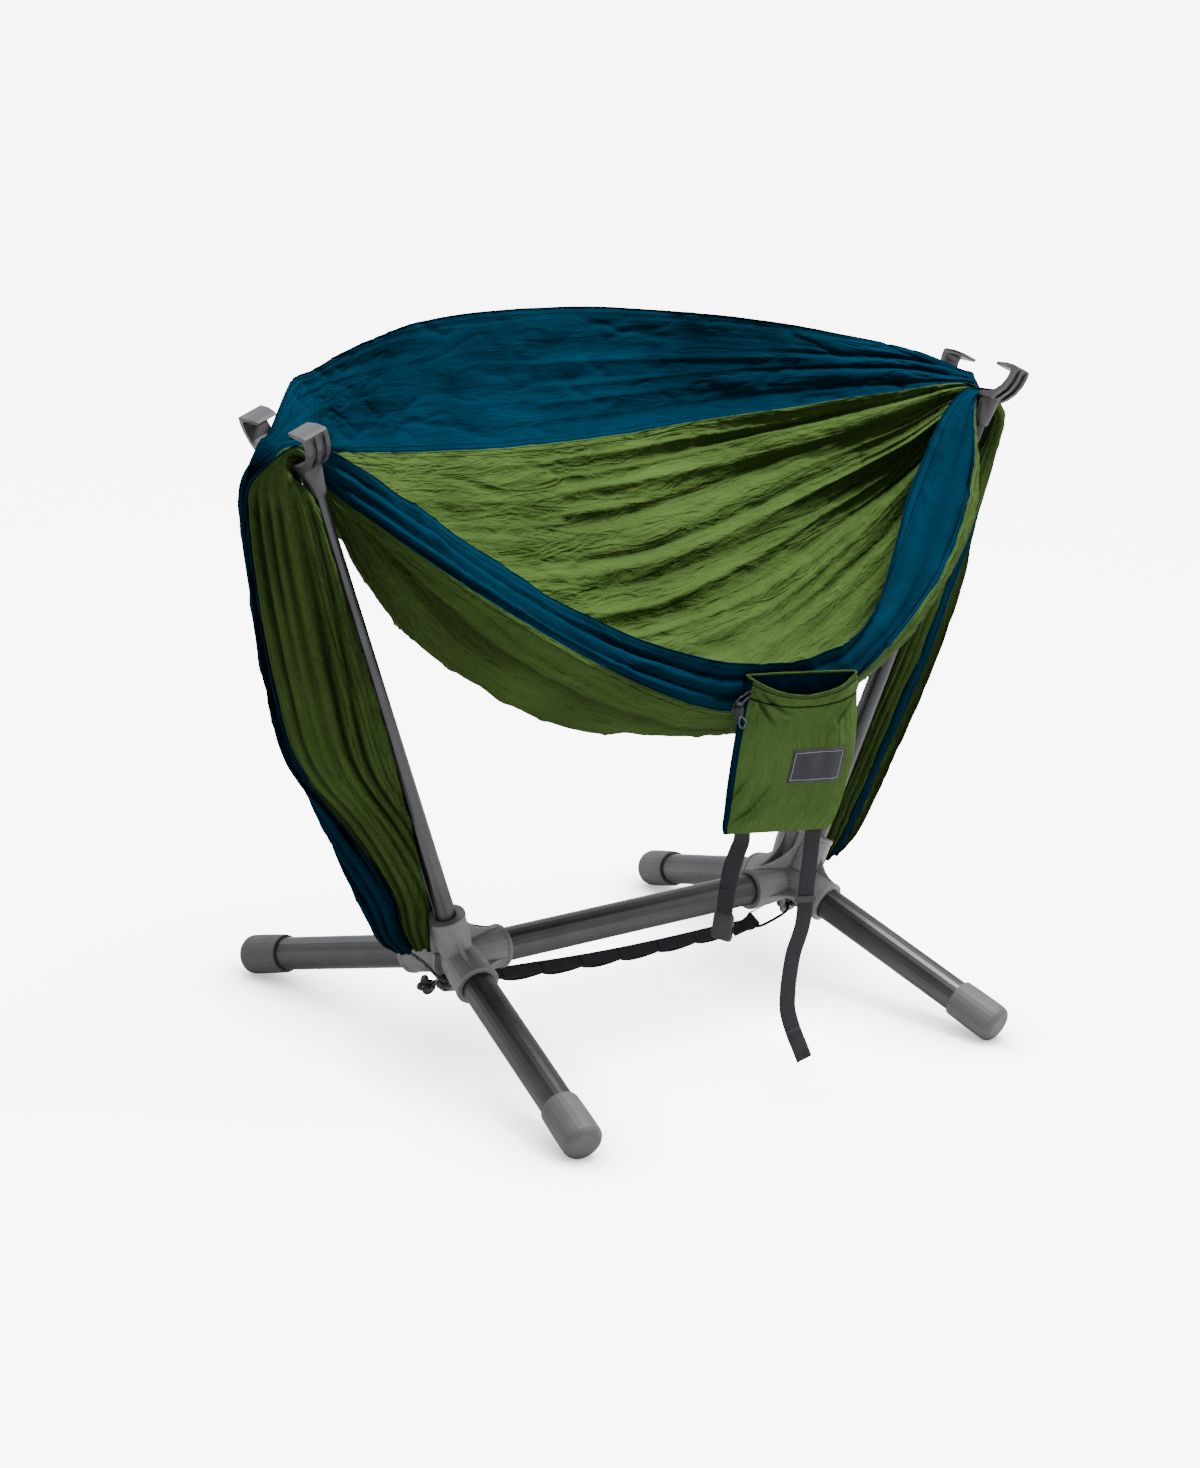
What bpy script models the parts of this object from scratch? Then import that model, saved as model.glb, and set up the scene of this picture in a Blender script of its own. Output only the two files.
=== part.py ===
"""Compact hammock stand with a three-panel hammock, stuff sack and straps.

Metres, +Z up. The spine lies along X, -Y is the near side with the sack, and
the floor is z = 0 under the middle of the spine.
"""
import math

import bmesh
import bpy
import numpy as np
from mathutils import Matrix, Vector

# Clearances
SEAT_GAP = 0.0003          # between pieces that seat on each other
CLOTH_GAP = 0.0009         # between two cloth panels along their seam
WELDS = (2e-6, 3e-7, 1e-5, 4e-5)   # points closer than this are one point

# Tubes
TUBE_RADIUS = 0.025        # spine and legs
TUBE_WALL = 0.002
SPINE_SPAN = 0.662         # between the hub centres
SPINE_DROP = 0.010         # spine axis below the leg axes
TUBE_SEAT = 0.034          # hub centre to the end of a seated tube
LEG_PLAN = math.radians(10.5)
LEG_DROP = math.radians(17.6)
LEG_REACH = 0.352          # hub centre to the mouth of the foot cap

# Foot caps
CAP_LENGTH = 0.080
CAP_RADIUS = 0.030
CAP_MOUTH_RADIUS = 0.0287
CAP_ROUND = 0.012
CAP_GRIP = 0.045           # length of tube inside the cap
CAP_FLAT = 0.0012          # depth of the flat worn where the cap stands

# Upright poles
POLE_FOOT_OUT = 0.008      # pole axis outward of the hub centre
POLE_FOOT_SIDE = 0.020     # pole axis beside the spine plane
POLE_RISE = 0.747          # hub centre to hook base
POLE_LEAN = 0.306          # how far a pole leans outward over its rise
POLE_SPLAY = 0.015         # how far a pole leans sideways over its rise
POLE_FOOT_RADIUS = 0.0165
POLE_HEAD_RADIUS = 0.0088
POLE_WALL = 0.0015
POLE_SEAT = 0.040          # hub centre to the seated end of a pole

# Hub castings
SOCKET_WALL = 0.0066
LEG_SOCKET = 0.085
SPINE_SOCKET = 0.086
POLE_SOCKET = 0.072
POLE_SOCKET_RADIUS = 0.0272
LIP_HEIGHT = 0.0014
LIP_LENGTH = 0.007
WEB_THICKNESS = 0.005
WEB_SHIFT = (0.0, 0.0004)  # near and far webs, kept from crossing edge to edge
LUG_DEPTH = 0.0640         # lug's lower edge below the hub centre
LUG_THICKNESS = 0.006
LUG_SLOT = (0.0035, 0.0085)        # half width and half height
CORD_EYE_RADIUS = 0.0042

# Hook heads
HOOK_WIDTH = 0.036
HOOK_RIB = 0.0065
HOOK_SKIN = 0.0034         # skin left between the ribs
COLLAR_LENGTH = 0.043
COLLAR_HALF_WIDTH = 0.0165
COLLAR_HALF_DEPTH = 0.0118

# Cloth
CLOTH_THICKNESS = 0.0024
CLOTH_COLUMNS = (2, 2, 2, 2, 3, 2, 2)    # columns of the grid between two lines
FOLD_COUNT = 4
FOLD_DEPTH = 0.007

# Strap under the spine and its clip
DAISY_WIDTH = 0.020
DAISY_NECK = 0.013         # width where it passes through the lug
DAISY_THICKNESS = 0.0020
DAISY_LEFT_DROP = 0.054    # below the hub centres, where it leaves the left lug
DAISY_MIDDLE_DROP = 0.064
DAISY_RIGHT_DROP = 0.069
DAISY_LOOPS = 6
DAISY_SAG = 0.006
LOOP_SAG = 0.013
LUG_LOOP_RADIUS = 0.0058   # end loops round the lug's rim and the clip's wire
CLIP_LOOP_RADIUS = 0.0086
TAIL = 0.036               # sewn-back end of a strap
CLIP_LENGTH = 0.078        # between the wire's centre lines
CLIP_WIDTH = 0.030
CLIP_WIRE_RADIUS = 0.0023
CLIP_TILT = math.radians(35.0)
GATE_WIRE_RADIUS = 0.0009
GATE_HINGE = 115.0         # places on the clip's oval, in degrees from the lug end
GATE_NOSE = 70.0
GATE_PIN_RADIUS = 0.0013
GATE_PIN_STEP = 0.0022     # from the end of the body's wire to the pin

# Stuff sack and its straps
SACK_TURN = math.radians(-19.0)
SACK_CENTRE = (-0.0015, -0.3239)     # middle of the mouth in plan
SACK_BELOW_HEM = 0.0084
SACK_HEIGHT = 0.232
SACK_WALL = 0.0022
SACK_COLUMNS = 12          # points across each face
MOUTH_SAG = 0.026          # middle of the mouth's front rim below its corners
PATCH_WIDTH = 0.084
PATCH_HEIGHT = 0.050
PATCH_ASIDE = 0.032        # patch's middle to the right of the sack's middle
PATCH_BELOW = 0.1056       # patch's upper edge below the mouth
PATCH_LIFT = (0.0006, 0.0014)      # faces of the patch above the sack's front
STRAP_WIDTH = 0.025
STRAP_THICKNESS = 0.0018
FLOOR_CLEARANCE = 0.034    # long strap's end above the floor
LONG_STRAP_ASIDE = 0.058   # straps beside the middle of the sack's bottom
SHORT_STRAP_ASIDE = -0.052
SHORT_STRAP_TURN = math.radians(52.0)
SLIDER_LENGTH = 0.009
SLIDER_DEPTH = 0.0068
SOCKET_LENGTH = 0.040
LOCK_PLACE = (-0.100, 0.022, -0.054)   # cord lock's foot from the middle of the mouth
LOCK_RADIUS = 0.0068
LOCK_HEIGHT = 0.016
LOCK_BORE = 0.0042
LOCK_FLOOR = 0.0062        # bottom of the button's bore
LOCK_SLOT_LEVEL = 0.0034   # middle of the cord's slot
LOCK_TRAVEL = 0.003
DRAW_CORD_RADIUS = 0.0013
END_CORD_RADIUS = 0.0024
EYE_LIFT = 0.0012          # the end cord bears on the top of its eye
CORD_LIFT = {-1: 0.0022, 1: 0.0006}    # top of an end cord above the lowest cloth

ROUND = 24                 # sides of the large tubes
FINE_ROUND = 20            # sides of the poles

# Where everything stands
HUB_X = SPINE_SPAN / 2
CAP_END = LEG_REACH + CAP_LENGTH
HUB_Z = ((CAP_END - CAP_ROUND) * math.sin(LEG_DROP)
         + (CAP_RADIUS - CAP_ROUND) * math.cos(LEG_DROP) + CAP_ROUND - CAP_FLAT)
SPINE_Z = HUB_Z - SPINE_DROP
HOOK_X = HUB_X + POLE_FOOT_OUT + POLE_LEAN
HOOK_Y = POLE_FOOT_SIDE + POLE_SPLAY
HOOK_Z = HUB_Z + POLE_RISE
SOCKET_RADIUS = TUBE_RADIUS + SOCKET_WALL
POLE_LENGTH = math.sqrt(POLE_RISE ** 2 + POLE_LEAN ** 2 + POLE_SPLAY ** 2)

SIDES = (("left", -1), ("right", 1))
EDGES = (("near", -1), ("far", 1))


# Materials

def material(name, colour, roughness, metallic=0.0):
    """A Principled material with one colour, given in linear values."""
    made = bpy.data.materials.new(name)
    made.use_nodes = True
    shader = made.node_tree.nodes["Principled BSDF"]
    shader.inputs["Base Color"].default_value = (*colour, 1.0)
    shader.inputs["Roughness"].default_value = roughness
    shader.inputs["Metallic"].default_value = metallic
    made.diffuse_color = (*colour, 1.0)
    return made


def make_materials():
    return {
        "tube": material("anodised_tube", (0.055, 0.055, 0.058), 0.36, 0.8),
        "hub": material("glass_filled_nylon", (0.190, 0.190, 0.192), 0.55),
        "cap": material("foot_rubber", (0.175, 0.175, 0.178), 0.70),
        "hook": material("hook_nylon", (0.330, 0.325, 0.340), 0.50),
        "teal": material("teal_nylon_cloth", (0.003, 0.042, 0.090), 0.60),
        "green": material("green_nylon_cloth", (0.078, 0.140, 0.028), 0.60),
        "webbing": material("grey_webbing", (0.058, 0.060, 0.066), 0.80),
        "buckle": material("grey_acetal", (0.110, 0.112, 0.120), 0.45),
        "cord": material("black_cord", (0.012, 0.012, 0.013), 0.75),
        "clip": material("black_clip", (0.020, 0.020, 0.022), 0.30, 0.9),
        "wire": material("steel_wire", (0.560, 0.570, 0.580), 0.25, 1.0),
        "patch": material("woven_patch", (0.075, 0.073, 0.085), 0.75),
    }


# Mesh helpers

def clear_scene():
    for item in list(bpy.data.objects):
        bpy.data.objects.remove(item, do_unlink=True)


def new_object(name, verts, faces, finish=None, split=False):
    """A mesh object from plain lists, with its normals turned outward."""
    mesh = bpy.data.meshes.new(name)
    bm = bmesh.new()
    made = [bm.verts.new(tuple(v)) for v in verts]
    for face in faces:
        bm.faces.new([made[i] for i in face])
    bmesh.ops.remove_doubles(bm, verts=bm.verts[:], dist=1e-6)
    bmesh.ops.dissolve_degenerate(bm, edges=bm.edges[:], dist=1e-7)
    bmesh.ops.recalc_face_normals(bm, faces=bm.faces[:])
    if split:
        bmesh.ops.triangulate(bm, faces=bm.faces[:])
    bm.to_mesh(mesh)
    bm.free()
    item = bpy.data.objects.new(name, mesh)
    bpy.context.scene.collection.objects.link(item)
    if finish is not None:
        mesh.materials.append(finish)
    return item


def smooth(item, angle=math.radians(34)):
    item.data.shade_smooth()
    item.data.set_sharp_from_angle(angle=angle)
    return item


def set_origin(item, point):
    """Move the object's origin to a point and leave its shape where it is."""
    item.data.transform(Matrix.Translation(-Vector(point)))
    item.location = point
    return item


def combine(item, other, operation):
    """Boolean with another object, which is used up."""
    step = item.modifiers.new(operation.lower(), "BOOLEAN")
    step.operation = operation
    step.solver = "EXACT"
    step.object = other
    depsgraph = bpy.context.evaluated_depsgraph_get()
    result = bpy.data.meshes.new_from_object(item.evaluated_get(depsgraph))
    item.modifiers.remove(step)
    for weld in WELDS:
        bm = bmesh.new()
        bm.from_mesh(result)
        bmesh.ops.remove_doubles(bm, verts=bm.verts[:], dist=weld)
        bmesh.ops.dissolve_degenerate(bm, edges=bm.edges[:], dist=weld)
        if all(len(edge.link_faces) == 2 for edge in bm.edges) or weld == WELDS[-1]:
            break
        bm.free()
    bm.to_mesh(result)
    bm.free()
    old = item.data
    item.data = result
    bpy.data.meshes.remove(old)
    bpy.data.objects.remove(other, do_unlink=True)
    return item


def dress(item, finish):
    """Give a shape made by booleans its one material."""
    item.data.materials.clear()
    item.data.materials.append(finish)
    return item


def frame_along(origin, direction, side=Vector((0.0, 1.0, 0.0))):
    """Axes (across, up, along) and origin of a piece that runs one way."""
    along = Vector(direction).normalized()
    across = (side - along * side.dot(along)).normalized()
    up = along.cross(across)
    return Vector(origin), across, up, along


def at(frame, a, b, s):
    origin, across, up, along = frame
    return origin + across * a + up * b + along * s


def revolve(name, profile, frame, sides, finish=None, closed=False, phase=0.0):
    """Turn (radius, distance) points round the frame's axis; phase in steps."""
    verts = []
    rings = []
    for radius, s in profile:
        if radius < 1e-9:
            rings.append([len(verts)])
            verts.append(at(frame, 0.0, 0.0, s))
            continue
        ring = []
        for k in range(sides):
            turn = 2 * math.pi * (k + phase) / sides
            ring.append(len(verts))
            verts.append(at(frame, radius * math.cos(turn), radius * math.sin(turn), s))
        rings.append(ring)
    faces = []
    pairs = list(zip(rings, rings[1:]))
    if closed:
        pairs.append((rings[-1], rings[0]))
    for one, two in pairs:
        for k in range(sides):
            nxt = (k + 1) % sides
            if len(one) == 1:
                faces.append((one[0], two[k], two[nxt]))
            elif len(two) == 1:
                faces.append((one[k], two[0], one[nxt]))
            else:
                faces.append((one[k], two[k], two[nxt], one[nxt]))
    return new_object(name, verts, faces, finish)


def loft(name, loops, finish=None, cap=True):
    """Skin over loops with the same number of points."""
    count = len(loops[0])
    verts = [point for loop in loops for point in loop]
    faces = []
    for row in range(len(loops) - 1):
        for k in range(count):
            nxt = (k + 1) % count
            a = row * count
            b = a + count
            faces.append((a + k, b + k, b + nxt, a + nxt))
    if cap:
        faces.append(tuple(range(count)))
        last = (len(loops) - 1) * count
        faces.append(tuple(last + k for k in range(count)))
    return new_object(name, verts, faces, finish)


def plate(name, outline, frame, thickness, finish=None):
    """A flat plate: outline points (across, along) of the frame."""
    half = thickness / 2
    loops = [[at(frame, a, h, s) for a, s in outline] for h in (-half, half)]
    return loft(name, loops, finish)


def arc(centre, radius, start, stop, steps):
    """Points (a, b) on an arc, angles in degrees."""
    angles = np.radians(np.linspace(start, stop, steps + 1))
    return [(centre[0] + radius * math.cos(t), centre[1] + radius * math.sin(t)) for t in angles]


def smooth_path(points, steps):
    """Catmull-Rom curve through the points, with steps pieces between two."""
    p = np.asarray(points, float)
    p = np.vstack([2 * p[0] - p[1], p, 2 * p[-1] - p[-2]])
    t = np.arange(steps)[:, None] / steps
    rows = []
    for i in range(1, len(p) - 2):
        p0, p1, p2, p3 = p[i - 1:i + 3]
        rows.append(0.5 * (2 * p1 + (p2 - p0) * t + (2 * p0 - 5 * p1 + 4 * p2 - p3) * t ** 2
                           + (3 * p1 - p0 - 3 * p2 + p3) * t ** 3))
    rows.append(p[-2][None])
    return np.vstack(rows)


def tube_along(name, path, radii, sides, finish):
    """A round cord along a path, thicker where its radii say, as at a knot."""
    path = np.asarray(path, float)
    tangents = np.gradient(path, axis=0)
    tangents /= np.linalg.norm(tangents, axis=1)[:, None]
    across = np.cross(tangents[0], (0.31, 0.87, 0.38))
    loops = []
    for point, tangent, radius in zip(path, tangents, radii):
        across = across - tangent * across.dot(tangent)
        across /= np.linalg.norm(across)
        other = np.cross(tangent, across)
        turns = 2 * np.pi * np.arange(sides) / sides
        ring = point + radius * (np.cos(turns)[:, None] * across + np.sin(turns)[:, None] * other)
        loops.append([tuple(v) for v in ring])
    return loft(name, loops, finish)


def even_path(points, spacing):
    """Smooth curve through the points, resampled at an even spacing."""
    fine = smooth_path([tuple(p) for p in points], 12)
    run = np.concatenate([[0.0], np.cumsum(np.linalg.norm(np.diff(fine, axis=0), axis=1))])
    places = np.linspace(0.0, run[-1], round(run[-1] / spacing) + 1)
    return np.stack([np.interp(places, run, fine[:, k]) for k in range(3)], axis=1)


def cord_curve(name, path, radius, finish):
    """Round cord as a beveled curve with filled ends."""
    curve = bpy.data.curves.new(name, "CURVE")
    curve.dimensions = "3D"
    curve.bevel_depth = radius
    curve.bevel_resolution = 2
    curve.render_resolution_u = 0
    curve.use_fill_caps = True
    spline = curve.splines.new("POLY")
    spline.points.add(len(path) - 1)
    for point, place in zip(spline.points, path):
        point.co = (*place, 1.0)
    curve.materials.append(finish)
    item = bpy.data.objects.new(name, curve)
    bpy.context.scene.collection.objects.link(item)
    return item


def ribbon_along(name, path, width_way, width, thickness, finish):
    """Flat webbing along a path; width and its direction may change along it."""
    path = np.asarray(path, float)
    ways = np.broadcast_to(np.asarray(width_way, float), path.shape)
    widths = np.broadcast_to(np.asarray(width, float), (len(path),))
    tangents = np.gradient(path, axis=0)
    tangents /= np.linalg.norm(tangents, axis=1)[:, None]
    loops = []
    for point, tangent, way, wide in zip(path, tangents, ways, widths):
        across = way - tangent * way.dot(tangent)
        across /= np.linalg.norm(across)
        out = np.cross(tangent, across)
        corners = ((-1, -1), (1, -1), (1, 1), (-1, 1))
        loops.append([tuple(point + across * a * wide / 2 + out * b * thickness / 2)
                      for a, b in corners])
    return loft(name, loops, finish)


# Axes that the pieces share

def hub_centre(side):
    return Vector((side * HUB_X, 0.0, HUB_Z))


def leg_way(side, edge):
    flat = math.cos(LEG_DROP)
    return Vector((side * flat * math.sin(LEG_PLAN), edge * flat * math.cos(LEG_PLAN),
                   -math.sin(LEG_DROP)))


def leg_frame(side, edge):
    return frame_along(hub_centre(side), leg_way(side, edge), Vector((1.0, 0.0, 0.0)))


def pole_foot(side, edge):
    return Vector((side * (HUB_X + POLE_FOOT_OUT), edge * POLE_FOOT_SIDE, HUB_Z))


def hook_base(side, edge):
    return Vector((side * HOOK_X, edge * HOOK_Y, HOOK_Z))


def pole_frame(side, edge):
    foot = pole_foot(side, edge)
    return frame_along(foot, hook_base(side, edge) - foot, Vector((0.0, float(edge), 0.0)))


def pole_radius(s):
    """Pole radius at a distance from its foot."""
    share = min(max(s / POLE_LENGTH, 0.0), 1.0)
    return POLE_FOOT_RADIUS + (POLE_HEAD_RADIUS - POLE_FOOT_RADIUS) * share


# Stand

def tube(name, frame, start, stop, finish):
    bore = TUBE_RADIUS - TUBE_WALL
    profile = ((TUBE_RADIUS, start), (TUBE_RADIUS, stop), (bore, stop), (bore, start))
    return smooth(revolve(name, profile, frame, ROUND, finish, closed=True))


def make_spine(finish):
    frame = frame_along((0.0, 0.0, SPINE_Z), (1.0, 0.0, 0.0))
    half = HUB_X - TUBE_SEAT - SEAT_GAP
    return tube("spine_tube", frame, -half, half, finish)


def make_leg(name, side, edge, finish):
    end = LEG_REACH + CAP_GRIP - SEAT_GAP
    made = tube(name, leg_frame(side, edge), TUBE_SEAT + SEAT_GAP, end, finish)
    return set_origin(made, hub_centre(side))


def make_cap(name, side, edge, finish):
    """Rubber cap: rounded end, softly flared body, blind bore, flat where it stands."""
    frame = leg_frame(side, edge)
    bore = TUBE_RADIUS + SEAT_GAP
    bottom = LEG_REACH + CAP_GRIP
    profile = [(0.0, bottom), (bore, bottom), (bore, LEG_REACH), (CAP_MOUTH_RADIUS, LEG_REACH)]
    profile.append((CAP_MOUTH_RADIUS + 0.0006, LEG_REACH + 0.004))
    profile.append((CAP_RADIUS, LEG_REACH + CAP_LENGTH * 0.45))
    corner = arc((CAP_RADIUS - CAP_ROUND, CAP_END - CAP_ROUND), CAP_ROUND, 0, 90, 4)
    profile += corner
    profile.append((0.0, CAP_END))
    cap = revolve(name, profile, frame, 24, finish)
    foot = at(frame, 0.0, 0.0, CAP_END)
    reach = CAP_RADIUS * 2
    floor = plate("floor_cut", ((-reach, -reach), (reach, -reach), (reach, reach), (-reach, reach)),
                  frame_along((foot.x, foot.y, -reach / 2), (1.0, 0.0, 0.0)), reach)
    combine(cap, floor, "DIFFERENCE")
    smooth(cap)
    return set_origin(cap, hub_centre(side))


def make_pole(name, side, edge, finish):
    """Tapered pole, hollow, from the hub socket into the hook's collar."""
    frame = pole_frame(side, edge)
    start = POLE_SEAT + SEAT_GAP
    stop = POLE_LENGTH - SEAT_GAP
    stations = (start, POLE_SOCKET + 0.01, stop - COLLAR_LENGTH, stop)
    outer = [(pole_radius(s), s) for s in stations]
    inner = [(pole_radius(s) - POLE_WALL, s) for s in (stop, start)]
    return smooth(revolve(name, outer + inner, frame, FINE_ROUND, finish, closed=True))


def sleeve(frame, reach, radius, sides, phase=0.0):
    """Outside of one hub socket, with a raised lip at its mouth."""
    lip = radius + LIP_HEIGHT
    profile = [(0.0, -0.004), (radius * 0.78, -0.004), (radius * 0.94, reach * 0.30)]
    profile += [(radius, reach * 0.62), (radius, reach - LIP_LENGTH - LIP_HEIGHT)]
    profile += [(lip, reach - LIP_LENGTH), (lip, reach - LIP_HEIGHT), (radius, reach), (0.0, reach)]
    return revolve("sleeve", profile, frame, sides, phase=phase)


def web_between(frame_a, reach_a, radius_a, frame_b, reach_b, radius_b, shift):
    """Web between two sockets, with a hollow edge that meets both mouths."""
    way_a = frame_a[3]
    way_b = frame_b[3]
    turn = way_a.dot(way_b)
    across_a = (way_b - way_a * turn).normalized()
    across_b = (way_a - way_b * turn).normalized()
    normal = way_a.cross(way_b).normalized()
    middle = (frame_a[0] + frame_b[0]) / 2 + normal * shift
    spread = math.sqrt(1 - turn * turn)
    start = frame_a[0] + normal * shift + way_a * (reach_a - LIP_LENGTH) + across_a * radius_a
    stop = frame_b[0] + normal * shift + way_b * (reach_b - LIP_LENGTH) + across_b * radius_b
    pull = middle + way_a * (radius_b / spread) + way_b * (radius_a / spread)
    edge = []
    for t in np.linspace(0.0, 1.0, 7):
        edge.append(start * (1 - t) ** 2 + pull * 2 * t * (1 - t) + stop * t * t)
    outline = [middle] + edge
    half = normal * (WEB_THICKNESS / 2)
    return loft("web", [[p - half for p in outline], [p + half for p in outline]])


def lug_slot_centre(side):
    """Middle of the slot in the lug under a hub."""
    centre = hub_centre(side)
    return centre + Vector((side * 0.002, 0.0, -LUG_DEPTH + 0.016))


def cord_eye_centre(side):
    return lug_slot_centre(side) + Vector((side * 0.0165, 0.0, 0.001))


def make_lug(side):
    """Plate under the hub centre with a slot for webbing or a clip and a cord's eye."""
    centre = hub_centre(side)
    frame = (centre, Vector((float(side), 0.0, 0.0)), Vector((0.0, 1.0, 0.0)),
             Vector((0.0, 0.0, 1.0)))
    low = -LUG_DEPTH
    outline = [(-0.030, -0.018), (-0.0075, low + 0.027), (-0.0075, low + 0.005), (-0.004, low),
               (0.016, low + 0.003), (0.0245, low + 0.009), (0.0275, low + 0.017),
               (0.027, low + 0.026), (0.036, -0.020), (0.036, 0.0), (-0.030, 0.0)]
    made = plate("lug", outline, frame, LUG_THICKNESS)
    through = LUG_THICKNESS * 2
    wide, high = LUG_SLOT
    slot = lug_slot_centre(side)
    trim = 0.0010              # cut off the slot's corners
    shape = [(-wide, trim - high), (trim - wide, -high), (wide - trim, -high), (wide, trim - high),
             (wide, high - trim), (wide - trim, high), (trim - wide, high), (-wide, high - trim)]
    combine(made, plate("slot", shape, (slot, *frame[1:]), through), "DIFFERENCE")
    drill = frame_along(cord_eye_centre(side), (0.0, 1.0, 0.0), Vector((1.0, 0.0, 0.0)))
    hole = ((0.0, -through), (CORD_EYE_RADIUS, -through), (CORD_EYE_RADIUS, through), (0.0, through))
    return combine(made, revolve("hole", hole, drill, 12), "DIFFERENCE")


def make_hub(name, side, finish):
    """Five-socket casting: sleeves, webs between them, a lug below, five bores."""
    centre = hub_centre(side)
    legs = [leg_frame(side, edge) for _, edge in EDGES]
    poles = [pole_frame(side, edge) for _, edge in EDGES]
    spine = frame_along((centre.x, 0.0, SPINE_Z), (-side, 0.0, 0.0))
    hub = sleeve(spine, SPINE_SOCKET, SOCKET_RADIUS, ROUND, 0.44)
    hub.name = name
    for frame, phase in zip(legs, (0.3, 0.4)):
        combine(hub, sleeve(frame, LEG_SOCKET, SOCKET_RADIUS, ROUND, phase), "UNION")
    for frame, phase in zip(poles, (0.2, 0.35)):
        combine(hub, sleeve(frame, POLE_SOCKET, POLE_SOCKET_RADIUS, FINE_ROUND, phase), "UNION")
    upright = (POLE_SOCKET, POLE_SOCKET_RADIUS)
    lying = (LEG_SOCKET, SOCKET_RADIUS)
    along = (SPINE_SOCKET, SOCKET_RADIUS)
    for leg, pole, shift in zip(legs, poles, WEB_SHIFT):
        combine(hub, web_between(pole, *upright, leg, *lying, shift), "UNION")
        combine(hub, web_between(pole, *upright, spine, *along, shift), "UNION")
        combine(hub, web_between(leg, *lying, spine, *along, shift), "UNION")
    combine(hub, make_lug(side), "UNION")
    bore = TUBE_RADIUS + SEAT_GAP
    for frame, reach in ((legs[0], LEG_SOCKET), (legs[1], LEG_SOCKET), (spine, SPINE_SOCKET)):
        profile = ((0.0, TUBE_SEAT), (bore, TUBE_SEAT), (bore, reach + 0.01), (0.0, reach + 0.01))
        combine(hub, revolve("bore", profile, frame, ROUND), "DIFFERENCE")
    for frame in poles:
        profile = [(0.0, POLE_SEAT)]
        for s in (POLE_SEAT, POLE_SOCKET + 0.01):
            profile.append((pole_radius(s) + SEAT_GAP, s))
        profile.append((0.0, POLE_SOCKET + 0.01))
        combine(hub, revolve("bore", profile, frame, FINE_ROUND), "DIFFERENCE")
    return smooth(dress(hub, finish), math.radians(28))


# Hook section: outward distance from the pole axis, height above the hook base
HOOK_INNER = ((-0.0118, 0.000), (-0.0095, 0.0072), (0.004, 0.009), (0.017, 0.014), (0.027, 0.0235),
              (0.0325, 0.0355), (0.0340, 0.0460), (0.0325, 0.0520), (0.018, 0.0525), (0.001, 0.0520))
HOOK_TIP = ((-0.0030, 0.0548), (0.001, 0.0575))
HOOK_BACK = ((0.020, 0.0592), (0.037, 0.0590), (0.0415, 0.0565), (0.0420, 0.0460), (0.0395, 0.0330),
             (0.0325, 0.0185), (0.0215, 0.0065), (0.0118, 0.000))


def hook_section(skin_only):
    """The C outline; between the ribs only a skin is left over the inner face."""
    inner = np.array(HOOK_INNER)
    back = np.array(HOOK_BACK)
    if skin_only:
        count = len(back)
        for k in range(3, count - 1):
            nearest = inner[np.argmin(np.linalg.norm(inner - back[k], axis=1))]
            way = back[k] - nearest
            back[k] = nearest + way / np.linalg.norm(way) * HOOK_SKIN
    return [tuple(p) for p in inner] + list(HOOK_TIP) + [tuple(p) for p in back]


def make_hook(name, side, edge, finish):
    """C-shaped hook with a ribbed back, on a collar that takes the pole's head."""
    base = hook_base(side, edge)
    out = pole_frame(side, edge)[1]
    up = pole_frame(side, edge)[3]
    across = up.cross(out)
    half = HOOK_WIDTH / 2
    full = hook_section(False)
    thin = hook_section(True)
    ribs = ((-half, full), (-half + HOOK_RIB, full), (-half + HOOK_RIB, thin),
            (-HOOK_RIB / 2, thin), (-HOOK_RIB / 2, full), (HOOK_RIB / 2, full),
            (HOOK_RIB / 2, thin), (half - HOOK_RIB, thin), (half - HOOK_RIB, full), (half, full))
    loops = []
    for w, section in ribs:
        loop = []
        for q, p in section:
            lip = min(max((0.010 - q) / 0.014, 0.0), 1.0) if p > 0.05 else 0.0
            loop.append(base + out * q + up * p + across * (w * (1 - 0.22 * lip)))
        loops.append(loop)
    hook = loft(name, loops)
    collar = []
    levels = ((0.006, 0.0172, COLLAR_HALF_DEPTH - 0.0006),
              (-0.010, COLLAR_HALF_WIDTH, COLLAR_HALF_DEPTH),
              (-0.026, 0.0142, COLLAR_HALF_DEPTH),
              (-0.038, 0.0122, 0.0116),
              (-COLLAR_LENGTH, 0.0108, 0.0106))
    for p, wide, deep in levels:
        ring = []
        for k in range(FINE_ROUND):
            turn = 2 * math.pi * k / FINE_ROUND
            c = math.cos(turn)
            s = math.sin(turn)
            a = math.copysign(abs(c) ** 0.8, c) * deep
            b = math.copysign(abs(s) ** 0.8, s) * wide
            ring.append(base + out * a + across * b + up * p)
        collar.append(ring)
    combine(hook, loft("collar", collar), "UNION")
    frame = pole_frame(side, edge)
    start = POLE_LENGTH - COLLAR_LENGTH - 0.01
    profile = [(0.0, start), (pole_radius(start) + SEAT_GAP, start)]
    profile += [(pole_radius(POLE_LENGTH) + SEAT_GAP, POLE_LENGTH), (0.0, POLE_LENGTH)]
    combine(hook, revolve("bore", profile, frame, FINE_ROUND), "DIFFERENCE")
    return smooth(dress(hook, finish))


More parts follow.
